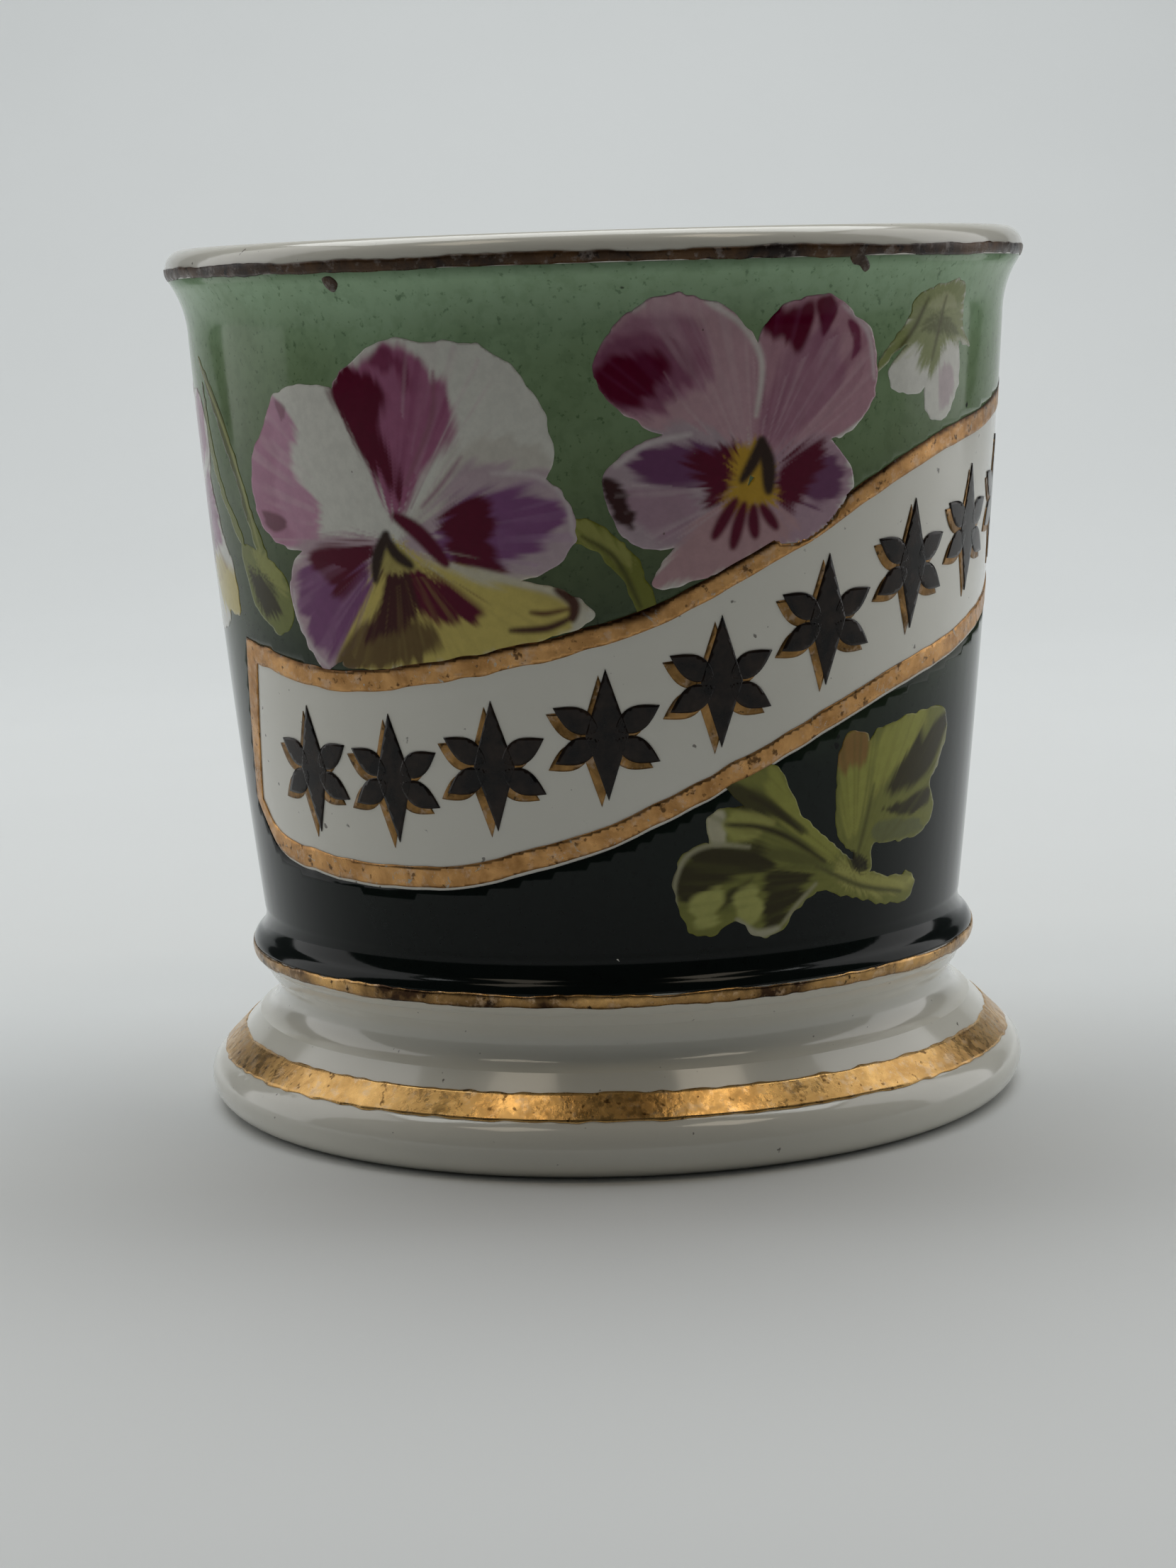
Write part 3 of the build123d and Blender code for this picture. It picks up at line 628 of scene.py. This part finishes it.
SIDE_PANSY["petals"] = [
    [(-58, 64), (-66, 70), (-67, 75), (-61, 77.5), (-57, 73)],
    [(-58, 64), (-58, 74), (-53, 76), (-50, 72.5), (-51, 67)],
    [(-58, 65), (-67, 67.5), (-71, 63), (-68, 58.5), (-62, 60)],
    [(-60, 64), (-53, 68.5), (-50.5, 65.5), (-48.3, 61), (-46, 58), (-46, 53.3), (-51.5, 54.3),
     (-57, 58)],
    [(-60, 64), (-64, 57.5), (-60, 52), (-53, 51.3), (-49.5, 54.5)],
]
SIDE_PANSY["washes"] = [
    ((0.36, 0.16, 0.25), 1.0, [(-60, 66), (-65, 71), (-65, 75), (-58, 76), (-55, 70)]),
    ((0.40, 0.20, 0.30), 1.0, [(-57, 68), (-56, 74), (-52, 75), (-51, 70)]),
    ((0.25, 0.11, 0.22), 1.0, [(-62, 65), (-68, 66), (-69, 62), (-65, 60)]),
    ((0.36, 0.18, 0.28), 1.0, [(-58, 64), (-52.5, 67.5), (-50, 64), (-50, 60), (-56, 60)]),
    (YELLOW, 0.9, [(-56, 58.5), (-50, 59), (-45.5, 57), (-45.5, 53), (-52, 53.5)]),
    (CRIMSON, 1.0, [(-60, 63), (-55, 63), (-54, 59), (-59, 57)]),
]
SIDE_PANSY["strokes"] = [
    (CHEVRON, 0.9, [(-60.5, 62), (-59, 65), (-57, 62.5)]),
]
SIDE_PANSY["streaks"] = [
    ((0.16, 0.03, 0.08), 0.6, [(-66, 76), (-50, 76), (-48, 58), (-66, 58)]),
]
BUD = {"eye": (36, 81)}
BUD["petals"] = [
    [(30.5, 78), (28.7, 76), (29.5, 74.3), (31.5, 73.8), (33.7, 74), (34, 76.5), (33.5, 79.5)],
    [(33.7, 78), (34, 74), (34.6, 71.7), (37.5, 71), (39.7, 73.5), (40.3, 77), (38, 80)],
    [(27.4, 76), (28.3, 78.3), (31, 80.7), (32.3, 83), (36.5, 84.3), (40.2, 84.2), (40.6, 80),
     (42.3, 78), (38, 78.8), (35.8, 76.4), (33.5, 76), (33, 78.7), (30, 78)],
]
BUD["washes"] = [
    ((0.25, 0.28, 0.11), 1.0, [(27, 76), (28, 78.6), (31, 81), (32, 83.3), (36.5, 84.8), (40.7, 84.4),
     (40.9, 80), (42.8, 78), (38, 78.6), (35.8, 76.2), (33.3, 75.8), (32.8, 78.4), (30, 77.7)]),
    ((0.10, 0.11, 0.03), 0.8, [(33, 80), (36, 81.5), (39.5, 79.5), (37, 79.3)]),
    ((0.42, 0.43, 0.24), 0.7, [(34, 82), (37, 83.5), (39, 82)]),
    ((0.50, 0.38, 0.42), 0.7, [(36.5, 76), (38.5, 76), (39, 73.5), (37, 72)]),
]
BUD["strokes"] = [
    ((0.08, 0.08, 0.02), 0.5, [(29, 77.2), (32, 80), (34, 82.8)]),
    ((0.10, 0.10, 0.03), 0.4, [(37, 83), (36, 80), (35, 77)]),
]
BUD["streaks"] = [
    ((0.40, 0.43, 0.2), 0.5, [(28, 77), (33, 83), (40, 84), (41, 79), (35, 78)]),
]
PANSY_STEM = {"eye": (3, 56)}
PANSY_STEM["petals"] = [
    [(-3, 63.6), (-0.4, 62.9), (2.3, 60.4), (4, 57.4), (4.7, 55), (3, 54.2), (2, 56.8), (0.1, 59.4),
     (-1.8, 60.9), (-3.2, 61.5)],
]
PANSY_STEM["washes"] = [
    ((0.30, 0.30, 0.08), 0.9, [(-3, 63.5), (0, 62.5), (2.5, 59.8), (1.6, 59), (-2, 61.8)]),
]
PANSY_STEM["strokes"] = [
    ((0.07, 0.07, 0.015), 0.5, [(-2, 61.8), (1, 59.6), (3.2, 55)]),
]
PANSY_STEM["streaks"] = []
LEFT_SPRIG = {"eye": (-40, 58)}
LEFT_SPRIG["petals"] = [
    [(-50.5, 79), (-49, 78.5), (-45.3, 74.6), (-42.3, 69.5), (-39.8, 64), (-37.7, 59.5), (-39.3, 59),
     (-41.4, 64), (-44, 69.3), (-47, 74)],
    [(-50, 76), (-49.3, 75.5), (-48.3, 70), (-46, 65.7), (-42.4, 61.5), (-43.3, 60.6), (-47, 65),
     (-49.7, 69.8)],
    [(-43, 60.5), (-39.5, 60), (-38, 59.7), (-34.7, 57.2), (-34.4, 53.5), (-37, 51.8), (-41, 54),
     (-42.8, 57.5)],
]
LEFT_SPRIG["washes"] = [
    ((0.10, 0.11, 0.03), 1.0, [(-50.5, 79), (-45, 74), (-40, 63), (-44, 66), (-50, 74)]),
    ((0.33, 0.34, 0.10), 0.9, [(-40.5, 60), (-36.5, 59), (-35, 56), (-38.5, 57.5)]),
    (LEAF_DARK, 1.0, [(-42, 58), (-37.5, 56.7), (-36.5, 54), (-40, 54)]),
]
LEFT_SPRIG["strokes"] = [
    ((0.35, 0.36, 0.13), 0.45, [(-50, 78.5), (-45.5, 73.8), (-42, 68), (-39, 60)]),
]
LEFT_SPRIG["streaks"] = []
LEAF_SPRAY = {"eye": (27, 27)}
LEAF_SPRAY["petals"] = [
    [(24, 38), (25, 41), (27, 41.2), (28.6, 40), (29.2, 37), (28.3, 33.5), (27.2, 29.5), (25.7, 29.7),
     (24.3, 32)],
    [(28.3, 40), (31.5, 41.5), (35.5, 42.2), (41, 42.2), (42.6, 39.7), (41, 36.5), (39.3, 34.5),
     (40.6, 32), (39, 29.8), (35, 29.3), (29.7, 29.5), (29.5, 27), (27, 27.3), (27, 30)],
    [(11, 37.5), (15, 38.6), (16.7, 39), (18.7, 36), (20.3, 33.3), (24, 30.5), (27, 28.2), (30, 26.7),
     (34.5, 25.7), (35.7, 26.2), (37.7, 24.5), (35.7, 22.9), (31.5, 23.3), (27, 24.5), (22, 26.5),
     (17, 32)],
    [(9.5, 34.2), (12, 35.2), (15, 34.7), (18.5, 33.3), (21, 31), (25, 28.5), (27, 26), (20, 26),
     (14, 29.5), (10.3, 31)],
    [(6, 28), (7, 30.6), (9.5, 31.7), (14, 31.2), (18.5, 29.3), (22, 28.2), (22.5, 26), (19.7, 24.3),
     (18, 22.3), (15, 21.9), (12.6, 23.7), (10, 22.3), (7.7, 23), (6.6, 25.5)],
]
LEAF_SPRAY["washes"] = [
    (LEAF_YELLOW, 0.9, [(25, 38), (28, 38), (28.5, 35), (27, 31), (25, 32)]),
    ((0.30, 0.17, 0.05), 1.0, [(24, 39), (25, 41.5), (27.5, 41.5), (28, 38.7), (25.5, 37.5)]),
    (LEAF_YELLOW, 1.0, [(29, 40), (33, 41.5), (38, 42.2), (36, 38), (31, 36), (29, 34)]),
    (LEAF_DARK, 1.0, [(42.3, 41), (37, 39.7), (33, 37.3), (31, 34.6), (35.5, 35), (39.5, 36.3)]),
    (LEAF_DARK, 1.0, [(39, 34.2), (34.5, 33.5), (31, 32.9), (34.5, 31.9), (39.3, 32.3)]),
    ((0.15, 0.16, 0.07), 0.8, [(30, 31.5), (36, 31.5), (38.5, 30), (33, 29.5), (30, 30)]),
    (LEAF_YELLOW, 0.9, [(16.7, 38.8), (19, 35.6), (21, 33), (24.5, 30), (23, 28.5), (18.5, 32.5),
     (15.5, 36)]),
    ((0.44, 0.42, 0.12), 0.9, [(25, 28.5), (30, 26.5), (36, 25.8), (37, 24.3), (31, 24.3), (25, 26.3)]),
    (LEAF_DARK, 0.9, [(11.5, 37.3), (16.5, 35.7), (20.5, 32), (16, 33.7), (12.5, 35.4)]),
    ((0.55, 0.52, 0.36), 1.0, [(9.3, 34.3), (11.3, 34.8), (11.6, 32), (10.2, 31)]),
    ((0.44, 0.43, 0.12), 0.8, [(12, 34.6), (17, 33.5), (15, 32), (12, 32)]),
    ((0.12, 0.12, 0.03), 0.8, [(13, 31.5), (19, 30.5), (24, 28), (19, 28.5)]),
    (LEAF_DARK, 1.0, [(5.8, 28.2), (8, 30.6), (11.5, 31.1), (15, 31), (16.5, 28.7), (11.5, 27.8),
     (9, 25.8), (7, 26)]),
    (LEAF_DARK, 1.0, [(16.5, 28.2), (19, 28.5), (21.7, 27.5), (19, 24.3), (16.5, 22.9), (15.3, 24.7)]),
    (LEAF_DARK, 0.9, [(11, 25), (12, 27.1), (14.7, 28), (13.3, 26)]),
    ((0.46, 0.46, 0.14), 1.0, [(8, 26), (11, 27.3), (10.7, 24), (8.3, 23.6)]),
    ((0.46, 0.46, 0.14), 1.0, [(12.5, 26), (14.8, 26.8), (15.7, 24), (14, 22.8)]),
    ((0.03, 0.025, 0.01), 1.0, [(26, 29.3), (28.5, 28.4), (29, 27), (27, 27.2)]),
]
LEAF_SPRAY["strokes"] = [
    (LEAF_DARK, 0.6, [(11.5, 33.4), (15, 32.9), (18.5, 31.5), (23, 28.7)]),
    (LEAF_DARK, 0.5, [(14, 36), (16.7, 34.5), (20, 31.8)]),
    ((0.12, 0.12, 0.03), 0.5, [(29.3, 35.7), (28.4, 32), (27.4, 28.7)]),
    ((0.10, 0.10, 0.03), 0.5, [(22, 28.3), (28, 25.6), (35, 24)]),
    ((0.42, 0.40, 0.26), 0.5, [(6.3, 25.5), (6.2, 28), (7.4, 30.5), (10, 31.5), (14, 31)]),
    ((0.48, 0.46, 0.32), 0.9, [(12.8, 23.8), (15, 22.2), (17.6, 22.5)]),
    ((0.40, 0.38, 0.24), 0.4, [(17.8, 22.6), (19.7, 24.6), (22, 26.5)]),
    ((0.34, 0.33, 0.20), 0.4, [(42.3, 39.5), (40.8, 36.5), (39.4, 34.6)]),
]
LEAF_SPRAY["streaks"] = [
    ((0.13, 0.13, 0.03), 0.5, [(6, 22), (6, 34), (16, 39), (41, 42), (41, 29), (30, 23)]),
]


def build_painted(name, cad_node, flower, base, spacing=0.2, lift=0.08):
    """A flower or spray: its sheet, and its washes, streaks and strokes laid in that order."""
    made, painting = paint_sheet(name, flower["petals"], spacing, lift, base)
    eye = flower["eye"]
    for k, (colour, strength, outline) in enumerate(flower["washes"]):
        painting.wash(outline, colour, strength, eye, seed=k + 1)
    for k, (colour, strength, outline) in enumerate(flower["streaks"]):
        painting.streak(outline, colour, 0.7 * strength, eye, seed=k + 40)
    for colour, width, line in flower["strokes"]:
        painting.stroke(line, colour, width)
    store_colours(made, painting)
    finish_piece(made, materials["painted_enamel"], cad_node)


# ---------------- materials


def new_material(name):
    """A material with nodes, its node tree and its surface shader."""
    material = bpy.data.materials.new(name)
    material.use_nodes = True
    tree = material.node_tree
    return material, tree, tree.nodes["Principled BSDF"]


def node(tree, kind, inputs=None, **settings):
    """A new node with its settings and its unlinked inputs."""
    made = tree.nodes.new(kind)
    for key, value in settings.items():
        setattr(made, key, value)
    for key, value in (inputs or {}).items():
        made.inputs[key].default_value = value
    return made


def noise_node(tree, scale, detail=3.0, roughness=0.55, distortion=0.0):
    """Noise laid out in object space, with its scale per metre."""
    place = node(tree, "ShaderNodeTexCoord")
    made = node(
        tree,
        "ShaderNodeTexNoise",
        {"Scale": scale, "Detail": detail, "Roughness": roughness, "Distortion": distortion},
    )
    tree.links.new(place.outputs["Object"], made.inputs["Vector"])
    return made.outputs["Fac"]


def colour_ramp(tree, factor, stops):
    """A colour for each value of a factor, by (position, (r, g, b)) stops."""
    made = node(tree, "ShaderNodeValToRGB")
    elements = made.color_ramp.elements
    while len(elements) < len(stops):
        elements.new(0.5)
    for element, (position, colour) in zip(elements, stops):
        element.position = position
        element.color = (*colour, 1.0)
    tree.links.new(factor, made.inputs["Fac"])
    return made.outputs["Color"]


def mix_colour(tree, factor, first, second, blend="MIX"):
    """One colour mixed into another; a factor or colour is a socket or a constant."""
    made = node(tree, "ShaderNodeMix", data_type="RGBA", blend_type=blend)
    for index, value in ((0, factor), (6, first), (7, second)):
        if isinstance(value, bpy.types.NodeSocket):
            tree.links.new(value, made.inputs[index])
        elif index == 0:
            made.inputs[index].default_value = value
        else:
            made.inputs[index].default_value = (*value, 1.0)
    return made.outputs[2]


def stretch(tree, factor, low, high, to_low=0.0, to_high=1.0):
    """A factor stretched from one range on to another, and clamped."""
    made = node(
        tree,
        "ShaderNodeMapRange",
        {"From Min": low, "From Max": high, "To Min": to_low, "To Max": to_high},
        interpolation_type="SMOOTHSTEP",
    )
    tree.links.new(factor, made.inputs["Value"])
    return made.outputs["Result"]


def bump(tree, shader, height, strength, distance):
    """Fine relief from a height socket."""
    made = node(tree, "ShaderNodeBump", {"Strength": strength, "Distance": distance})
    tree.links.new(height, made.inputs["Height"])
    tree.links.new(made.outputs["Normal"], shader.inputs["Normal"])


PORCELAIN_WHITE = (0.80, 0.78, 0.70)
PORCELAIN_SHADE = (0.765, 0.745, 0.665)
BARE_GLAZE = (0.50, 0.47, 0.40)


def porcelain():
    """White glazed porcelain, faintly cloudy, with a few kiln specks and a slightly wavy glaze."""
    material, tree, shader = new_material("glazed_porcelain")
    cloud = colour_ramp(tree, noise_node(tree, 45), [(0.3, PORCELAIN_SHADE), (0.7, PORCELAIN_WHITE)])
    speck = stretch(tree, noise_node(tree, 900, 2.0), 0.715, 0.77)
    stained = mix_colour(tree, speck, cloud, (0.22, 0.20, 0.17))
    tree.links.new(stained, shader.inputs["Base Color"])
    gloss(shader, 0.13, 1.5)
    shader.inputs["Coat Weight"].default_value = 0.35
    shader.inputs["Coat Roughness"].default_value = 0.05
    bump(tree, shader, noise_node(tree, 130, 2.0), 0.25, 0.0004)
    return material


def gloss(shader, roughness, ior):
    """A fired surface's constant gloss."""
    shader.inputs["Roughness"].default_value = roughness
    shader.inputs["IOR"].default_value = ior


def height_factor(tree, low, high):
    """0 to 1 between two heights in mm."""
    place = node(tree, "ShaderNodeTexCoord")
    split = node(tree, "ShaderNodeSeparateXYZ")
    tree.links.new(place.outputs["Object"], split.inputs["Vector"])
    made = node(tree, "ShaderNodeMapRange", {"From Min": low * MM, "From Max": high * MM})
    tree.links.new(split.outputs["Z"], made.inputs["Value"])
    return made.outputs["Result"]


def green_enamel():
    """Green enamel, pale at the lip and almost black at the waist, stippled with fine specks."""
    material, tree, shader = new_material("green_enamel")
    clouds = node(tree, "ShaderNodeMath", {1: 0.22, 2: -0.11}, operation="MULTIPLY_ADD")
    tree.links.new(noise_node(tree, 60, 4.0, 0.6), clouds.inputs[0])
    level = node(tree, "ShaderNodeMath", operation="ADD")
    tree.links.new(height_factor(tree, 17, 88), level.inputs[0])
    tree.links.new(clouds.outputs[0], level.inputs[1])
    stops = [
        (0.10, (0.005, 0.008, 0.007)), (0.30, (0.010, 0.016, 0.012)), (0.46, (0.035, 0.050, 0.028)),
        (0.60, (0.085, 0.115, 0.055)), (0.74, (0.145, 0.21, 0.10)), (0.86, (0.22, 0.32, 0.175)),
        (0.97, (0.35, 0.51, 0.32)),
    ]
    shade = colour_ramp(tree, level.outputs[0], stops)
    cloudy = stretch(tree, noise_node(tree, 700, 3.0), 0.42, 0.68, 0, 0.30)
    mottled = mix_colour(tree, cloudy, shade, (0.52, 0.58, 0.50), "MULTIPLY")
    dust = stretch(tree, noise_node(tree, 1700, 2.0), 0.60, 0.74, 0, 0.6)
    dusty = mix_colour(tree, dust, mottled, (0.30, 0.38, 0.30), "MULTIPLY")
    pit = stretch(tree, noise_node(tree, 420, 2.0), 0.745, 0.785)
    pitted = mix_colour(tree, pit, dusty, (0.10, 0.09, 0.08), "MULTIPLY")
    tree.links.new(pitted, shader.inputs["Base Color"])
    gloss(shader, 0.10, 1.27)
    bump(tree, shader, noise_node(tree, 420, 3.0), 0.05, 0.0002)
    return material


def painted_enamel():
    """The flower colours, thin enough for the brush and the glaze to show, under a fired gloss."""
    material, tree, shader = new_material("painted_enamel")
    paint = node(tree, "ShaderNodeAttribute", attribute_name="paint")
    fine = stretch(tree, noise_node(tree, 900, 4.0, 0.65), 0.3, 0.7, 0.94, 1.04)
    grained = node(tree, "ShaderNodeVectorMath", operation="SCALE")
    tree.links.new(paint.outputs["Color"], grained.inputs["Vector"])
    tree.links.new(fine, grained.inputs["Scale"])
    speck = stretch(tree, noise_node(tree, 800, 2.0), 0.77, 0.80, 0, 0.7)
    stained = mix_colour(tree, speck, grained.outputs["Vector"], (0.12, 0.08, 0.07))
    tree.links.new(stained, shader.inputs["Base Color"])
    gloss(shader, 0.12, 1.25)
    bump(tree, shader, noise_node(tree, 600, 3.0), 0.025, 0.0002)
    return material


def gilding(name, bright, dull, dark, wear, roughness, patch=260, metal=0.92, ior=1.5, painted=False):
    """Fired gold: brushed, mottled and pitted, with the glaze showing where it's worn away."""
    material, tree, shader = new_material(name)
    patches = noise_node(tree, patch, 5.0, 0.65, 0.4)
    gold = colour_ramp(tree, patches, [(0.36, dull), (0.62, bright)])
    pale = tuple(0.6 * part + 0.18 for part in bright)
    rubbed = stretch(tree, noise_node(tree, 700, 5.0, 0.7), 0.52, 0.66, 0, 0.6)
    gold = mix_colour(tree, rubbed, gold, pale)
    pits = stretch(tree, noise_node(tree, 1100, 3.0), 0.60, 0.70, 0, 0.9)
    stained = mix_colour(tree, pits, gold, dark)
    worn = stretch(tree, noise_node(tree, 620, 6.0, 0.72, 0.8), wear, wear + 0.07)
    finished = mix_colour(tree, worn, stained, BARE_GLAZE)
    if painted:
        paint = node(tree, "ShaderNodeAttribute", attribute_name="paint")
        finished = mix_colour(tree, 1.0, finished, paint.outputs["Color"], "MULTIPLY")
    tree.links.new(finished, shader.inputs["Base Color"])
    bare = node(tree, "ShaderNodeMath", {0: metal}, operation="SUBTRACT", use_clamp=True)
    tree.links.new(worn, bare.inputs[1])
    tree.links.new(bare.outputs[0], shader.inputs["Metallic"])
    rough = stretch(tree, noise_node(tree, 900, 3.0), 0.3, 0.7, roughness * 0.75, roughness * 1.35)
    tree.links.new(rough, shader.inputs["Roughness"])
    shader.inputs["IOR"].default_value = ior
    bump(tree, shader, noise_node(tree, 1300, 3.0), 0.3, 0.0001)
    return material


def black_enamel():
    """Black enamel with brown where the brush left it thin."""
    material, tree, shader = new_material("black_enamel")
    stops = [(0.35, (0.005, 0.004, 0.004)), (0.75, (0.035, 0.022, 0.016))]
    black = colour_ramp(tree, noise_node(tree, 500, 4.0, 0.6), stops)
    tree.links.new(black, shader.inputs["Base Color"])
    gloss(shader, 0.14, 1.3)
    bump(tree, shader, noise_node(tree, 900, 3.0), 0.08, 0.0002)
    return material


GILDINGS = {
    "worn_gilding": dict(
        bright=(0.62, 0.34, 0.13), dull=(0.36, 0.18, 0.06), dark=(0.10, 0.05, 0.02),
        wear=0.61, roughness=0.34, painted=True,
    ),
    "burnished_gilding": dict(
        bright=(0.74, 0.45, 0.16), dull=(0.50, 0.28, 0.09), dark=(0.14, 0.07, 0.02),
        wear=0.74, roughness=0.26,
    ),
    "waist_gilding": dict(
        bright=(0.75, 0.44, 0.16), dull=(0.05, 0.025, 0.012), dark=(0.02, 0.012, 0.008),
        wear=0.70, roughness=0.26, patch=90,
    ),
    "dark_gilding": dict(
        bright=(0.10, 0.05, 0.02), dull=(0.016, 0.009, 0.007), dark=(0.008, 0.005, 0.004),
        wear=0.74, roughness=0.30, patch=150, metal=0.15, ior=1.3,
    ),
    "shade_gilding": dict(
        bright=(0.36, 0.20, 0.07), dull=(0.12, 0.065, 0.02), dark=(0.05, 0.03, 0.015),
        wear=0.80, roughness=0.36,
    ),
}
materials = {
    "porcelain": porcelain(),
    "green_enamel": green_enamel(),
    "painted_enamel": painted_enamel(),
    "black_enamel": black_enamel(),
}
for name, look in GILDINGS.items():
    materials[name] = gilding(name, **look)
for name in ("cup", "pedestal_foot", "handle"):
    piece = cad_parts[name]
    piece.data.materials.clear()
    piece.data.materials.append(materials["porcelain"])

build_ground()
build_gilding()
build_foot_band()
build_ornament()
build_painted("left_pansy_paint", "left_pansy", LEFT_PANSY, WHITE)
build_painted("right_pansy_paint", "right_pansy", RIGHT_PANSY, WHITE)
build_painted("side_pansy_paint", "side_pansy", SIDE_PANSY, WHITE, 0.25)
build_painted("bud_paint", "flower_bud", BUD, WHITE, 0.2, 0.07)
build_painted("stem_paint", "pansy_stem", PANSY_STEM, (0.17, 0.18, 0.03), 0.2, 0.07)
build_painted("sprig_paint", "leaf_sprig", LEFT_SPRIG, (0.20, 0.22, 0.06), 0.2, 0.07)
build_painted("spray_paint", "leaf_spray", LEAF_SPRAY, LEAF_GREEN)

# ---------------- stage, light and camera


def build_stage():
    """A pale sweep: a floor that curves up into a wall behind the mug."""
    half_width, near, bend_start, bend_size, top = 0.62, -0.45, 0.42, 0.5, 1.7
    profile = [(near, 0.0), (bend_start, 0.0)]
    steps = 24
    for k in range(1, steps + 1):
        angle = radians(90 * k / steps)
        profile.append((bend_start + bend_size * sin(angle), bend_size * (1 - cos(angle))))
    profile.append((bend_start + bend_size, top))
    points = [(side * half_width, y, z) for y, z in profile for side in (-1, 1)]
    faces = [(2 * k, 2 * k + 1, 2 * k + 3, 2 * k + 2) for k in range(len(profile) - 1)]
    mesh = bpy.data.meshes.new("sweep")
    mesh.from_pydata(points, [], faces)
    mesh.shade_smooth()
    sweep = bpy.data.objects.new("sweep", mesh)
    bpy.context.collection.objects.link(sweep)
    material, tree, shader = new_material("pale_paper")
    paper = colour_ramp(tree, noise_node(tree, 8), [(0.3, (0.74, 0.755, 0.76)), (0.7, (0.76, 0.775, 0.78))])
    tree.links.new(paper, shader.inputs["Base Color"])
    shader.inputs["Roughness"].default_value = 0.7
    sweep.data.materials.append(material)


def area_light(name, place, aim, size, power, colour):
    """A soft box at a place, turned towards a point."""
    data = bpy.data.lights.new(name, "AREA")
    data.shape = "RECTANGLE"
    data.size, data.size_y = size
    data.energy = power
    data.color = colour
    lamp = bpy.data.objects.new(name, data)
    lamp.location = place
    lamp.rotation_euler = (Vector(aim) - Vector(place)).to_track_quat("-Z", "Y").to_euler()
    bpy.context.collection.objects.link(lamp)


def build_light():
    """Soft boxes at both sides and above, in a dim room that looks pale to the camera."""
    white, cool, warm = (1.0, 1.0, 1.0), (0.97, 1.0, 1.0), (1.0, 0.88, 0.70)
    tall, wide, small = (0.4, 0.9), (1.0, 0.6), (0.2, 0.24)
    area_light("left_box", (-0.60, 0.20, 0.26), (0, 0, 0.05), tall, 1.15, white)
    area_light("right_box", (0.60, 0.20, 0.26), (0, 0, 0.05), tall, 1.3, white)
    area_light("top_box", (0.0, 0.34, 0.80), (0, 0.36, 0), wide, 5.3, cool)
    area_light("near_left_box", (-0.30, -0.22, 0.80), (0, -0.10, 0), small, 0.30, warm)
    area_light("near_right_box", (0.30, -0.22, 0.80), (0, -0.10, 0), small, 0.36, warm)
    world = bpy.data.worlds.new("room")
    bpy.context.scene.world = world
    world.use_nodes = True
    tree = world.node_tree
    backdrop = tree.nodes["Background"]
    backdrop.inputs["Color"].default_value = (0.62, 0.66, 0.68, 1)
    rays = node(tree, "ShaderNodeLightPath")
    dim, added_when_seen = 0.05, 0.75
    shown = node(tree, "ShaderNodeMath", {1: added_when_seen, 2: dim}, operation="MULTIPLY_ADD")
    tree.links.new(rays.outputs["Is Camera Ray"], shown.inputs[0])
    tree.links.new(shown.outputs[0], backdrop.inputs["Strength"])


def build_camera():
    """A long lens a third of a metre in front of the mug, looking a little down on it."""
    eye = Vector((-2.2, -344.1, 83.5)) * MM
    pitch, roll = radians(8.47), radians(-1.75)
    forward = Vector((0, cos(pitch), -sin(pitch)))
    level = Vector((1, 0, 0))
    upright = Vector((0, sin(pitch), cos(pitch)))
    right = cos(roll) * level + sin(roll) * upright
    up = -sin(roll) * level + cos(roll) * upright
    data = bpy.data.cameras.new("camera")
    data.sensor_width = 36.0
    data.lens = 74.3
    data.clip_start = 0.01
    camera = bpy.data.objects.new("camera", data)
    turn = Matrix((right, up, -forward)).transposed()
    camera.matrix_world = Matrix.Translation(eye) @ turn.to_4x4()
    bpy.context.collection.objects.link(camera)
    bpy.context.scene.camera = camera


build_stage()
build_light()
build_camera()
bpy.context.scene.view_settings.view_transform = "Standard"
